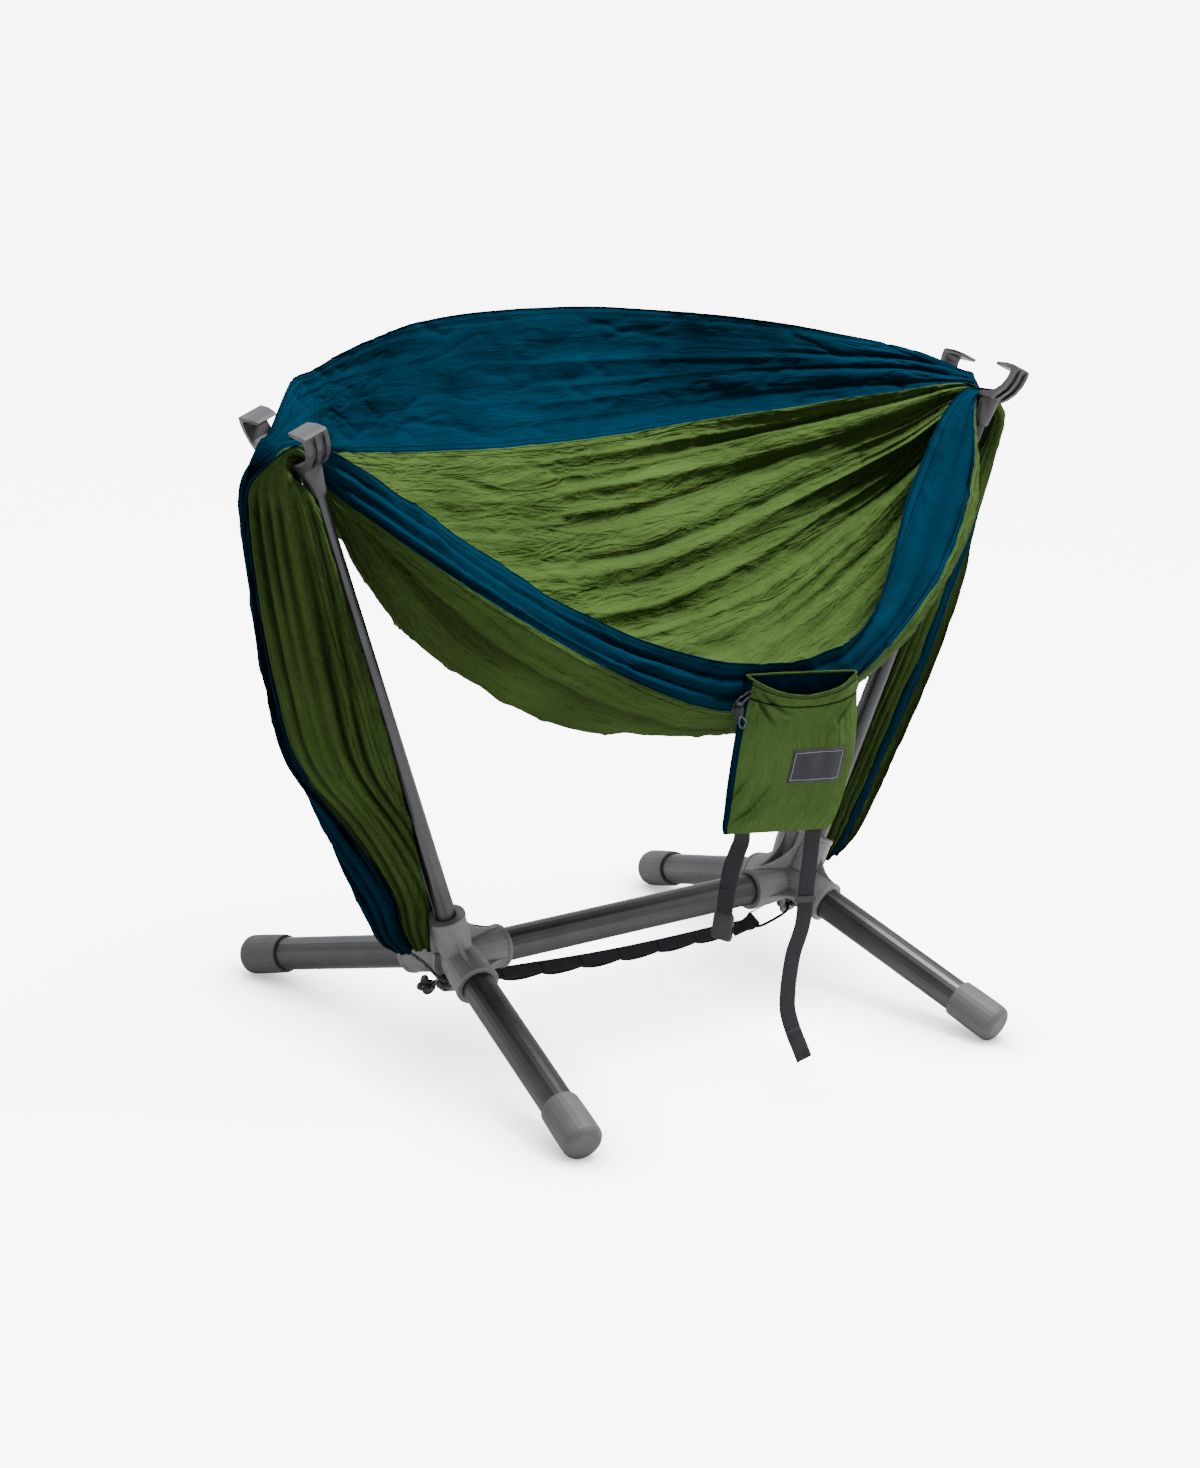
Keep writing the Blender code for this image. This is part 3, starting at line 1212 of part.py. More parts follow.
def make_button(name, finish):
    """Spring button of the cord lock."""
    frame = lock_frame()
    low = LOCK_HEIGHT + LOCK_TRAVEL + SEAT_GAP
    stem = LOCK_BORE - SEAT_GAP
    foot = LOCK_FLOOR + LOCK_TRAVEL + SEAT_GAP
    profile = ((0.0, foot), (stem, foot),
               (stem, low), (LOCK_RADIUS - 0.0004, low), (LOCK_RADIUS - 0.0004, low + 0.002),
               (LOCK_RADIUS - 0.0016, low + 0.0032), (0.0, low + 0.0036))
    button = smooth(revolve(name, profile, frame, 16, finish))
    return set_origin(button, at(frame, 0.0, 0.0, LOCK_HEIGHT))


def draw_cord_points():
    """Cord out of the hem, through the lock, round a bight in front of it and back."""
    origin, across, front, up = lock_frame()
    gap = DRAW_CORD_RADIUS + 0.0003
    face = LOCK_RADIUS + 0.0012
    rows = ((0.0228, -0.0002 - face, 0.0275), (gap + 0.009, -face - 0.002, 0.016),
            (gap + 0.002, -face - 0.0035, 0.004), (gap, -face, 0.0), (gap, 0.0, 0.0),
            (gap, face, 0.0), (gap + 0.002, face + 0.006, -0.001),
            (gap + 0.004, face + 0.009, -0.007), (0.0, face + 0.009, -0.013),
            (-gap - 0.004, face + 0.009, -0.007), (-gap - 0.002, face + 0.006, -0.001),
            (-gap, face, 0.0), (-gap, 0.0, 0.0), (-gap, -face, 0.0),
            (-gap, -face - 0.0075, 0.003), (gap + 0.002, -face - 0.0070, 0.017),
            (0.0215, -0.0027 - face, 0.0325))
    return [origin + across * a + front * f + up * (LOCK_SLOT_LEVEL + z) for a, f, z in rows]


def make_draw_cord(name, finish):
    path = even_path(draw_cord_points(), DRAW_CORD_RADIUS * 4)
    return cord_curve(name, path, DRAW_CORD_RADIUS, finish)


def main():
    clear_scene()
    mats = make_materials()
    make_spine(mats["tube"])
    for place, side in SIDES:
        make_hub("hub_" + place, side, mats["hub"])
        for which, edge in EDGES:
            tag = place + "_" + which
            make_leg("leg_tube_" + tag, side, edge, mats["tube"])
            make_cap("foot_cap_" + tag, side, edge, mats["cap"])
            make_pole("upright_pole_" + tag, side, edge, mats["tube"])
            make_hook("hook_head_" + tag, side, edge, mats["hook"])
        make_end_cord("end_cord_" + place, side, mats["cord"])
    make_hammock(mats)
    make_strap("spine_strap", mats["webbing"])
    make_clip("clip_body", mats["clip"])
    make_gate("clip_gate", mats["wire"])
    make_sack("sack_body", mats["green"])
    make_patch("sack_patch", mats["patch"])
    make_long_strap("long_strap", mats["webbing"])
    make_slider("strap_slider", mats["buckle"])
    make_short_strap("short_strap", mats["webbing"])
    make_socket("buckle_socket", mats["buckle"])
    make_lock("cord_lock", mats["buckle"])
    make_button("lock_button", mats["buckle"])
    make_draw_cord("draw_cord", mats["cord"])


main()
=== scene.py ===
import math

import bpy
import numpy as np
from mathutils import Matrix, Vector


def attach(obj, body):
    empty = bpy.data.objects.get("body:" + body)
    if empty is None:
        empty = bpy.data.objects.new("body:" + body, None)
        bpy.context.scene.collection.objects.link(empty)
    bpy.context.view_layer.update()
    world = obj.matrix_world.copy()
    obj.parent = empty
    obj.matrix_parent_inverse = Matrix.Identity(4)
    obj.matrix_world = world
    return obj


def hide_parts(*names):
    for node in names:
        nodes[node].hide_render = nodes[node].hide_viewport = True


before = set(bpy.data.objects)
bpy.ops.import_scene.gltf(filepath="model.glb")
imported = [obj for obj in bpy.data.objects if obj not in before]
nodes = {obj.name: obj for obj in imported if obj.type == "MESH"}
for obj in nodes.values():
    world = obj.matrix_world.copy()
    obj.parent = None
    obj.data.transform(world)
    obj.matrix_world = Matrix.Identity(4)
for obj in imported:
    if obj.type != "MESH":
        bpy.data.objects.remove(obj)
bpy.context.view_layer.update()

# Looks for the compact hammock stand. Metres, +Z up, -Y near.


# Small helpers

def vec(*p):
    return np.array(p, float)


def unit(v):
    v = np.asarray(v, float)
    return v / (np.linalg.norm(v, axis=-1, keepdims=True) + 1e-12)


# Catmull-Rom: the cubic from b to c whose slope at a point is half the step between its
# neighbours.
def blend(a, b, c, d, t):
    return 0.5 * (2 * b + (c - a) * t + (2 * a - 5 * b + 4 * c - d) * t ** 2
                  + (3 * b - a - 3 * c + d) * t ** 3)


# One more point before the first and after the last, each a step straight on.
def lengthened(p):
    return np.concatenate([2 * p[:1] - p[1:2], p, 2 * p[-1:] - p[-2:-1]])


# A smooth curve through the points. steps is one number or one for each piece.
def smoothPath(points, steps):
    p = lengthened(np.asarray(points, float))
    rows = []
    for i, count in enumerate(np.broadcast_to(steps, len(p) - 3)):
        t = (np.arange(count) / count).reshape((-1,) + (1,) * (p.ndim - 1))
        rows.append(blend(*p[i:i + 4], t))
    return np.concatenate(rows + [p[-2][None]])


def runOf(path):
    return np.concatenate([[0.0], np.cumsum(np.linalg.norm(np.diff(path, axis=0), axis=1))])


# Each column of a table read at other places of its run.
def readAt(places, run, table):
    return np.stack([np.interp(places, run, column) for column in table.T], axis=1)


# The smooth curve with its points an even distance apart.
def evenPath(points, spacing):
    fine = smoothPath(points, 12)
    run = runOf(fine)
    return readAt(np.linspace(0.0, run[-1], int(round(run[-1] / spacing)) + 1), run, fine)


def clamp(t):
    return np.clip(t, 0.0, 1.0)


def easy(t):
    return t * t * (3 - 2 * t)


# Smooth random values: a lattice of seeded numbers blended with t*t*(3-2t) both ways.
def noise(u, v, seed):
    size = 97
    lattice = np.random.RandomState(seed).uniform(-1, 1, (size, size))
    i, j = np.floor(u).astype(int), np.floor(v).astype(int)
    s, t = easy(u - i), easy(v - j)
    low, high = (lattice[i % size, k % size] * (1 - s) + lattice[(i + 1) % size, k % size] * s
                 for k in (j, j + 1))
    return low * (1 - t) + high * t


# A table with u along its rows and v down its columns.
def tableOf(u, v):
    return np.stack(np.broadcast_arrays(u[None, :], v[:, None]), axis=-1)


def addToScene(name, data):
    item = bpy.data.objects.new(name, data)
    bpy.context.scene.collection.objects.link(item)
    return item


def link(mesh, name, *finishes):
    for finish in finishes:
        mesh.materials.append(finish)
    return addToScene(name, mesh)


# A surface through a grid of points. across and along are closed rings where their
# flags say; flat gives each point's place in metres on the flat cloth.
def gridObject(name, points, finishes, flat=None, ringAcross=False, ringAlong=False,
               caps=False, kinds=None, values=None):
    rows, cols = points.shape[:2]
    index = np.arange(rows * cols).reshape(rows, cols)
    if ringAlong:
        index = np.vstack([index, index[:1]])
    if ringAcross:
        index = np.hstack([index, index[:, :1]])
    quads = np.stack([index[:-1, :-1], index[:-1, 1:], index[1:, 1:], index[1:, :-1]], axis=-1)
    shape = quads.shape[:2]
    count = shape[0] * shape[1]
    loops = [quads.ravel()]
    sizes = [4] * count
    if caps:
        loops += [index[0, :cols][::-1], index[-1, :cols]]
        sizes += [cols, cols]
    loops = np.concatenate(loops)
    mesh = bpy.data.meshes.new(name)
    mesh.vertices.add(rows * cols)
    mesh.vertices.foreach_set("co", points.reshape(-1))
    mesh.loops.add(len(loops))
    mesh.loops.foreach_set("vertex_index", loops)
    mesh.polygons.add(len(sizes))
    mesh.polygons.foreach_set("loop_start", np.cumsum([0] + sizes[:-1]))
    mesh.polygons.foreach_set("use_smooth", np.ones(len(sizes), bool))
    if kinds is not None:
        full = np.zeros(len(sizes), int)
        full[:count] = np.broadcast_to(kinds, shape).ravel()
        mesh.polygons.foreach_set("material_index", full)
    mesh.update(calc_edges=True)
    if flat is not None:
        table = flat.reshape(-1, 2)[loops]
        if ringAcross:
            # the last column ends a step past itself, not back at the first
            last = np.arange(count) % shape[1] == shape[1] - 1
            past = np.zeros(len(loops), bool)
            past[:4 * count] = (last[:, None] & [False, True, True, False]).ravel()
            table[past, 0] = flat[0, -1, 0] + (flat[0, 1, 0] - flat[0, 0, 0])
        mesh.uv_layers.new(name="flat").data.foreach_set("uv", table.ravel())
    for key, table in (values or {}).items():
        layer = mesh.attributes.new(key, "FLOAT", "POINT")
        layer.data.foreach_set("value", np.asarray(table, float).ravel())
    mesh.validate()
    return link(mesh, name, *finishes)


# The piece rides on the stand, and may take a CAD node's place.
def settle(piece, node=None):
    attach(piece, "stand")
    if node:
        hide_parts(node)
    return piece


# Two ways square to a path, carried along it without twisting.
def carry(path):
    tangents = unit(np.gradient(path, axis=0))
    across = np.cross(tangents[0], (0.31, 0.87, 0.38))
    ways = []
    for tangent in tangents:
        across = unit(across - tangent * across.dot(tangent))
        ways.append(across)
    ways = np.array(ways)
    return ways, np.cross(tangents, ways)


def tubeObject(name, path, radius, sides, finish, ring=False, ways=None):
    a, b = ways or carry(path)
    turn = 2 * np.pi * np.arange(sides) / sides
    circle = np.cos(turn)[None, :, None] * a[:, None] + np.sin(turn)[None, :, None] * b[:, None]
    return gridObject(name, path[:, None] + radius * circle, (finish,),
                      tableOf(turn / (2 * np.pi), runOf(path)), ringAcross=True,
                      ringAlong=ring, caps=not ring)


# Frame of a ribbon at each of its points: way along it, across it and out of its face.
def ribbonFrame(path, ways):
    tangents = unit(np.gradient(path, axis=0))
    across = unit(ways - tangents * np.sum(ways * tangents, axis=1, keepdims=True))
    return tangents, across, np.cross(tangents, across)


# Webbing: a flat ribbon with rounded edges; u is across it, v along it, in metres.
def ribbonObject(name, path, ways, widths, thickness, ripple, seed):
    _, across, out = ribbonFrame(path, ways)
    half = np.broadcast_to(widths, len(path))[:, None] / 2
    front = (-1, -0.97, -0.9, -0.5, 0, 0.5, 0.9, 0.97)
    share = vec(*front, *(-x for x in front))[None, :]
    rise = (0, 0.7, 1, 1, 1, 1, 1, 0.7)
    lift = vec(*rise, *(-x for x in rise)) * (thickness / 2)
    run = runOf(path)[:, None]
    bend = ripple * noise(share * 2 + 7, run * 40 + 3, seed)
    points = (path[:, None] + across[:, None] * (half * share)[:, :, None]
              + out[:, None] * (lift + bend)[:, :, None])
    flat = np.stack(np.broadcast_arrays(half * share, run), axis=-1)
    return gridObject(name, points, (webbing,), flat, ringAcross=True, caps=True)


# Materials

def colour(text):
    parts = [int(text[k:k + 2], 16) / 255 for k in (1, 3, 5)]
    return [c / 12.92 if c <= 0.04045 else ((c + 0.055) / 1.055) ** 2.4 for c in parts] + [1.0]


# A node tree and the steps that the finishes share.
class Look:
    def __init__(self, made):
        made.use_nodes = True
        self.made = made
        self.tree = made.node_tree

    def node(self, kind, inputs=None, **settings):
        node = self.tree.nodes.new("ShaderNode" + kind)
        for key, value in settings.items():
            setattr(node, key, value)
        for key, value in (inputs or {}).items():
            if isinstance(value, bpy.types.NodeSocket):
                self.tree.links.new(value, node.inputs[key])
            else:
                node.inputs[key].default_value = value
        return node.outputs

    def math(self, kind, a, b=0.0, c=0.0):
        return self.node("Math", {0: a, 1: b, 2: c}, operation=kind)[0]

    def mix(self, factor, a, b):
        return self.node("Mix", {0: factor, 6: a, 7: b}, data_type="RGBA")[2]

    def noise(self, where, scale, detail=2.0, distortion=0.0):
        return self.node("TexNoise", {"Vector": where, "Scale": scale, "Detail": detail,
                                      "Distortion": distortion})["Fac"]

    def feed(self, key, socket):
        self.tree.links.new(socket, self.shader.inputs[key])

    # The flat cloth's place and its two parts, in metres.
    def flat(self):
        place = self.node("UVMap", uv_map="flat")["UV"]
        parts = self.node("SeparateXYZ", {"Vector": place})
        return place, parts["X"], parts["Y"]

    def attribute(self, name):
        return self.node("Attribute", attribute_name=name)["Fac"]

    # Two-tone colour from a noise of a given grain in millimetres.
    def mottle(self, dark, light, grain, contrast=0.25):
        ramp = self.node("MapRange", {"Value": self.noise(self.coords, 1000.0 / grain, 3.0),
                                      "From Min": 0.5 - contrast, "From Max": 0.5 + contrast})
        self.feed("Base Color", self.mix(ramp["Result"], colour(dark), colour(light)))

    # Turns the base colour to another where factor is high.
    def tint(self, factor, text):
        base = self.shader.inputs["Base Color"].links[0].from_socket
        self.feed("Base Color", self.mix(factor, base, colour(text)))

    def bump(self, height, depth, strength):
        inputs = {"Height": height, "Distance": depth, "Strength": strength}
        if self.shader.inputs["Normal"].is_linked:
            inputs["Normal"] = self.shader.inputs["Normal"].links[0].from_socket
        self.feed("Normal", self.node("Bump", inputs)["Normal"])


def newLook(name, roughness, metallic=0.0, **constants):
    look = Look(bpy.data.materials.new(name))
    look.shader = look.tree.nodes["Principled BSDF"]
    look.coords = look.node("TexCoord")["Object"]
    for key, value in dict(constants, Roughness=roughness, Metallic=metallic).items():
        look.shader.inputs[key.replace("_", " ")].default_value = value
    return look


# Satin anodised aluminium: dark grey, a soft streak of light, a faint fine grain.
def tubeFinish():
    look = newLook("anodised_aluminium", 0.33, 1.0)
    look.mottle("#3E3E40", "#48484A", 60.0)
    fine = look.noise(look.coords, 1400.0)
    look.bump(fine, 0.00005, 0.6)
    rough = look.node("MapRange", {"Value": fine, "To Min": 0.36, "To Max": 0.46})
    look.feed("Roughness", rough["Result"])
    return look.made


# Moulded nylon or rubber: matt, a fine grain, a little lighter and darker in places.
def mouldedFinish(name, dark, light, roughness, grain, depth, shine=0.5):
    look = newLook(name, roughness, Specular_IOR_Level=shine)
    look.mottle(dark, light, 25.0)
    look.bump(look.noise(look.coords, 1000.0 / grain), depth, 0.7)
    return look.made


# Thin nylon: even colour, soft crumples, fine crinkles drawn out along the cloth (sharp
# where a noise crosses its middle), a faint weave, stitch lines by seams and hems.
# The attribute edge is the distance in metres from the nearest seam line or hem, shade
# how deep in a fold the point lies (0 to 1): painted shade turns the folds towards the
# thread colour there, to their bottom.
def clothFinish(name, dark, light, threadAndFoldShade, crumple):
    look = newLook(name, 0.72, Specular_IOR_Level=0.015)
    calc = look.math
    look.mottle(dark, light, 120.0, 0.2)
    # painted shade in the folds, from the attribute shade, in the thread colour
    look.tint(calc("MULTIPLY", look.attribute("shade"), 0.86), threadAndFoldShade)
    cloth, _, v = look.flat()
    look.bump(look.noise(look.coords, 42.0, 3.0, 0.8), 0.0030 * crumple, 0.7)
    for wide, long, turn, depth in ((36.0, 7.0, 0.12, 0.0030), (80.0, 22.0, -0.3, 0.0012)):
        drawn = look.node("Mapping", {"Vector": cloth, "Rotation": (0.0, 0.0, turn),
                                      "Scale": (wide, long, 1.0)})
        crinkle = look.noise(drawn["Vector"], 1.0, 2.5, 1.1)
        away = calc("ABSOLUTE", calc("SUBTRACT", crinkle, 0.5))
        sharp = calc("MINIMUM", calc("MULTIPLY", away, 7.0), 1.0)
        look.bump(sharp, depth * crumple, 0.8)
    look.bump(look.noise(look.coords, 1500.0, 1.0), 0.00008, 0.5)
    edge = look.attribute("edge")
    dash = calc("PINGPONG", calc("DIVIDE", v, 0.0016), 1.0)
    rows = [calc("COMPARE", edge, place, 0.00055) for place in (0.0022, 0.0092)]
    rows = calc("MAXIMUM", *rows)
    look.tint(calc("MULTIPLY", rows, calc("GREATER_THAN", dash, 0.22)), threadAndFoldShade)
    look.bump(calc("MULTIPLY", rows, -1.0), 0.0005, 0.8)
    return look.made


# Woven polyester webbing: ribs across, a plain rim, painted shade between the ribs, which leaves
# the ribs lighter.
def webbingFinish(name, dark, light):
    look = newLook(name, 0.78, Sheen_Weight=0.05, Sheen_Roughness=0.5,
                   Specular_IOR_Level=0.15)
    calc = look.math
    _, u, v = look.flat()
    rib = calc("PINGPONG", calc("DIVIDE", v, 0.0009), 1.0)
    cell = calc("PINGPONG", calc("DIVIDE", u, 0.0011), 1.0)
    lift = calc("MULTIPLY", rib, calc("ADD", calc("MULTIPLY", cell, 0.5), 0.5))
    look.mottle(dark, light, 2.2)
    # painted shade: darker where the ribs are low, between them
    paintedRibShade = calc("MULTIPLY", calc("SUBTRACT", 1.0, lift), 0.5)
    look.tint(paintedRibShade, "#101113")
    look.bump(lift, 0.00035, 0.9)
    return look.made


# Braided cord: black strands with light flecks, crossing both ways round it.
def cordFinish():
    look = newLook("flecked_cord", 0.72)
    calc = look.math
    _, u, v = look.flat()
    around = calc("MULTIPLY", u, 8.0)
    along = calc("DIVIDE", v, 0.0016)
    one, two = (calc(kind, around, along) for kind in ("ADD", "SUBTRACT"))
    cell = look.node("CombineXYZ", {"X": calc("FLOOR", one), "Y": calc("FLOOR", two)})
    pick = look.node("TexWhiteNoise", {"Vector": cell["Vector"]})
    look.mottle("#0A0A0B", "#141416", 1.0)
    look.tint(calc("GREATER_THAN", pick["Value"], 0.86), "#7E8085")
    strand = calc("MAXIMUM", *(calc("PINGPONG", x, 1.0) for x in (one, two)))
    look.bump(strand, 0.0003, 0.9)
    return look.made


def plainFinish(name, text, roughness, metallic=0.0):
    look = newLook(name, roughness, metallic)
    look.mottle(text, text, 8.0)
    look.bump(look.noise(look.coords, 2500.0), 0.00004, 0.6)
    return look.made


tube = tubeFinish()
hubNylon = mouldedFinish("glass_filled_nylon", "#7B7B7C", "#858586", 0.50, 0.7, 0.00012)
capRubber = mouldedFinish("foot_rubber", "#4E4E4F", "#58585A", 0.62, 0.5, 0.00010)
hookNylon = mouldedFinish("hook_nylon", "#39383B", "#414043", 0.42, 0.7, 0.00010, 0.4)
acetal = mouldedFinish("grey_acetal", "#303134", "#3A3B3E", 0.45, 0.4, 0.00005, 0.25)
lockNylon = mouldedFinish("lock_nylon", "#1B1C1E", "#242528", 0.45, 0.4, 0.00005, 0.25)
# The third colour is the thread's, also used for the painted shade in the folds.
teal = clothFinish("teal_nylon", "#002636", "#002E42", "#001019", 0.28)
green = clothFinish("green_nylon", "#3D5127", "#475F2E", "#151E0C", 0.8)
sackGreen = clothFinish("sack_green_nylon", "#4A6231", "#54703B", "#151E0C", 0.6)
sackTeal = clothFinish("sack_teal_nylon", "#002032", "#00283C", "#000F19", 0.6)
webbing = webbingFinish("woven_webbing", "#303135", "#45464B")
flecked = cordFinish()
black = plainFinish("black_enamel", "#1B1B1D", 0.30, 0.9)
steel = plainFinish("bright_steel", "#C3C5C8", 0.22, 1.0)
patchWeave = webbingFinish("patch_weave", "#48484E", "#525258")
patchRim = plainFinish("patch_border", "#85868E", 0.7)
stitching = plainFinish("dark_thread", "#0C0D0F", 0.8)
print("materials")


# Camera and light

view = {"turn": (-40.99, 16.98, 4.11), "place": (-2.89975, -3.2435, 1.758), "sensor": 36.0,
        "lens": 3059.47 * 36.0 / 1468.0}
# Brightness of floor, wall and sky, and the share of it that mirrors see.
stage = {"floor": 7.2, "wall": 9.0, "sky": 0.36, "floorShine": 0.16, "wallShine": 0.10}
# Name, place, height that it points at, size and power.
lamps = (("key", (0.9, -0.8, 4.4), 0.5, 0.9, 335.0), ("top", (0.4, 0.6, 3.9), 0.4, 2.0, 80.0),
         ("side", (3.4, -1.6, 2.0), 0.5, 1.8, 14.0), ("rear", (-0.7, 3.6, 2.6), 0.5, 2.0, 26.0))


def addCamera():
    yaw, pitch, roll = (math.radians(v) for v in view["turn"])
    turn = (Matrix.Rotation(yaw, 4, "Z") @ Matrix.Rotation(math.pi / 2 - pitch, 4, "X")
            @ Matrix.Rotation(roll, 4, "Z"))
    data = bpy.data.cameras.new("camera")
    data.sensor_width = view["sensor"]
    data.lens = view["lens"]
    item = addToScene("camera", data)
    item.matrix_world = Matrix.Translation(view["place"]) @ turn
    bpy.context.scene.camera = item


def addLights():
    for name, place, aim, size, power in lamps:
        data = bpy.data.lights.new(name, "AREA")
        data.shape = "SQUARE"
        data.size = size
        data.energy = power
        item = addToScene(name, data)
        item.location = place
        toward = Vector((0.0, 0.0, aim)) - Vector(place)
        item.rotation_euler = toward.to_track_quat("-Z", "Y").to_euler()


# 1 for the camera's own rays, a share for those that come off a mirror, else 0.
def seenBy(look, share):
    rays = look.node("LightPath")
    return look.math("MULTIPLY_ADD", rays["Is Glossy Ray"], share, rays["Is Camera Ray"])


# The floor and the wall behind are an even near white, as seen: light is added to them
# for the camera, and a little of it for mirror reflections, so the object is lit by the
# lamps and a soft sky. Close to the feet and tubes a painted shadow darkens the floor's
# added light.
def addStage():
    look = newLook("studio_floor", 0.9, Emission_Color=(1.0, 1.0, 1.0, 1.0))
    calc = look.math
    look.mottle("#CDCDCB", "#D5D5D3", 400.0)
    # painted contact shadow: the floor's added light is dimmed where other things are close
    near = look.node("AmbientOcclusion", {"Distance": 0.20}, samples=6)["AO"]
    paintedShadowFactor = calc("MULTIPLY_ADD", calc("POWER", near, 3.0), 0.92, 0.08)
    seen = calc("MULTIPLY", seenBy(look, stage["floorShine"]), paintedShadowFactor)
    look.feed("Emission Strength", calc("MULTIPLY", seen, stage["floor"]))
    x = np.linspace(-30, 30, 3)
    points = np.stack(np.broadcast_arrays(x[:, None], x[None, :], -0.0006), axis=-1)
    gridObject("studio_floor", points, (look.made,))
    world = bpy.data.worlds.new("studio")
    bpy.context.scene.world = world
    look = Look(world)
    calc = look.math
    look.shader = look.tree.nodes["Background"]
    look.shader.inputs["Color"].default_value = (0.98, 0.99, 1.0, 1.0)
    look.feed("Strength", calc("MULTIPLY_ADD", seenBy(look, stage["wallShine"]),
                               stage["wall"] - stage["sky"], stage["sky"]))


addCamera()
addLights()
addStage()
print("camera and stage")


# Places that the pieces share, the same as the CAD part's

place = {"hubX": 0.331, "legDrop": math.radians(17.6), "capEnd": 0.432, "capRound": 0.012,
         "capRadius": 0.030, "capSink": 0.0012, "poleRise": 0.747, "poleLean": 0.306,
         "poleOut": 0.008, "poleFoot": 0.0165, "poleTop": 0.0088}
hubX = place["hubX"]
hubZ = ((place["capEnd"] - place["capRound"]) * math.sin(place["legDrop"])
        + (place["capRadius"] - place["capRound"]) * math.cos(place["legDrop"])
        + place["capRound"] - place["capSink"])
hookX = hubX + place["poleOut"] + place["poleLean"]
hookZ = hubZ + place["poleRise"]
upWay = vec(0.0, 0.0, 1.0)


# Distances of a drape's inner side and ridge from the poles' middle plane at a height.
def drapeReach(z, gap, ridge):
    share = clamp((z - hubZ) / place["poleRise"])
    radius = place["poleFoot"] + (place["poleTop"] - place["poleFoot"]) * share
    return radius + gap / 1000, ridge / 1000


def poleAxisX(z):
    return hubX + place["poleOut"] + place["poleLean"] * (z - hubZ) / place["poleRise"]


def slotCentre(side):
    return vec(side * hubX + side * 0.002, 0.0, hubZ - 0.064 + 0.016)


def eyeCentre(side):
    return slotCentre(side) + vec(side * 0.0165, 0.0, 0.001)


# Cords

sackTurn = math.radians(-19.0)
sackAlong = vec(math.cos(sackTurn), math.sin(sackTurn), 0.0)
sackFront = vec(math.sin(sackTurn), -math.cos(sackTurn), 0.0)
sackTop = vec(-0.0015, -0.3239, hookZ - 0.280 - 0.0084)


# The draw cord comes out of the sack's hem, runs through the lock, round a bight and back.
# Rows are (along the sack, out, up) in millimetres from the middle of the lock.
drawRows = ((22.8, -8.2, 27.5), (10.6, -10, 16), (3.6, -11.5, 4), (1.6, -8, 0), (1.6, 0, 0),
            (1.6, 8, 0), (3.6, 14, -1), (5.6, 17, -7), (0, 17, -13), (-5.6, 17, -7),
            (-3.6, 14, -1), (-1.6, 8, 0), (-1.6, 0, 0), (-1.6, -8, 0), (-1.6, -15.5, 3),
            (3.6, -15, 17), (21.5, -10.7, 32.5))


# Points given in the sack's own directions from an origin, in millimetres.
def bySack(origin, rows):
    return np.array([origin + (sackAlong * a + sackFront * f + upWay * z) / 1000
                     for a, f, z in rows])


# Rows down a drape: share of the height between neck and hook, then in millimetres the
# gap between pole and cloth, the ridge's distance from the poles' plane and half the width.
drapeRows = ((0.955, 11, 79, 39), (0.86, 6, 106, 41), (0.73, 6, 126, 40), (0.58, 6, 144, 40),
             (0.42, 6, 150, 37), (0.27, 6, 140, 31), (0.13, 9, 128, 25), (0.045, 18, 116, 19),
             (0.0, 22, 92, 14))
neckZ = hubZ + 0.012


# The cord under each gathered end of the cloth, through the eye of the hub's lug.
def endCordPoints(side):
    middle = sum(drapeReach(neckZ, *drapeRows[-1][1:3])) / 2
    start = vec(side * (poleAxisX(neckZ) + middle), 0.0, neckZ - {-1: 0.0002, 1: 0.0018}[side])
    eye = eyeCentre(side) + vec(0.0, 0.0, 0.0012)
    rows = ((0, 12, 0, 0), (0, 2, 0, -1), (0.3, 0, -10, 0), (0.7, 3, -16, 0), (1, 0, -12, 3),
            (1, 0, -4, 0), (1, 0, 6, 0), (1, 2, 12, -3), (1, 6, 20, -8), (1, 10, 28, -15))
    return np.array([start + (eye - start) * share + vec(side * away, y, z) / 1000
                     for share, away, y, z in rows])


# A knot: the closed curve (sin t + 2 sin 2t, cos t - 2 cos 2t, -sin 3t), drawn flat and small.
def knotObject(name, centre, way, size, radius):
    t = np.linspace(0.0, 2 * np.pi, 72, endpoint=False)
    a = unit(np.cross(way, (0.2, 0.5, 0.84)))
    b = np.cross(way, a)
    curve = (np.outer(np.sin(t) + 2 * np.sin(2 * t), a)
             + np.outer(np.cos(t) - 2 * np.cos(2 * t), b) - np.outer(1.6 * np.sin(3 * t), way))
    path = centre + curve * size / 3.0
    tangents = unit(np.roll(path, -1, axis=0) - np.roll(path, 1, axis=0))
    spoke = unit(path - centre)
    spoke = unit(spoke - tangents * np.sum(spoke * tangents, axis=1, keepdims=True))
    ways = (spoke, np.cross(tangents, spoke))
    return tubeObject(name, path, radius, 10, flecked, ring=True, ways=ways)


def makeCords():
    lock = sackTop - sackAlong * 0.100 + sackFront * 0.022 - upWay * 0.0506
    path = evenPath(bySack(lock, drawRows), 0.0013)
    cord = settle(tubeObject("draw_cord_braid", path, 0.0013, 12, flecked), "draw_cord")
    for name, side in (("left", -1), ("right", 1)):
        path = evenPath(endCordPoints(side), 0.002)
        cord = settle(tubeObject("end_cord_braid_" + name, path, 0.0024, 14, flecked),
                      "end_cord_" + name)
        way = unit(path[-1] - path[-4])
        spots = (("end_knot_", path[-1] - way * 0.004, 0.0110, 0.0046),
                 ("eye_knot_", path[int(len(path) * 0.72)], 0.0090, 0.0042))
        knots = [settle(knotObject(start + name, spot, way, size, radius))
                 for start, spot, size, radius in spots]


makeCords()
print("cords")


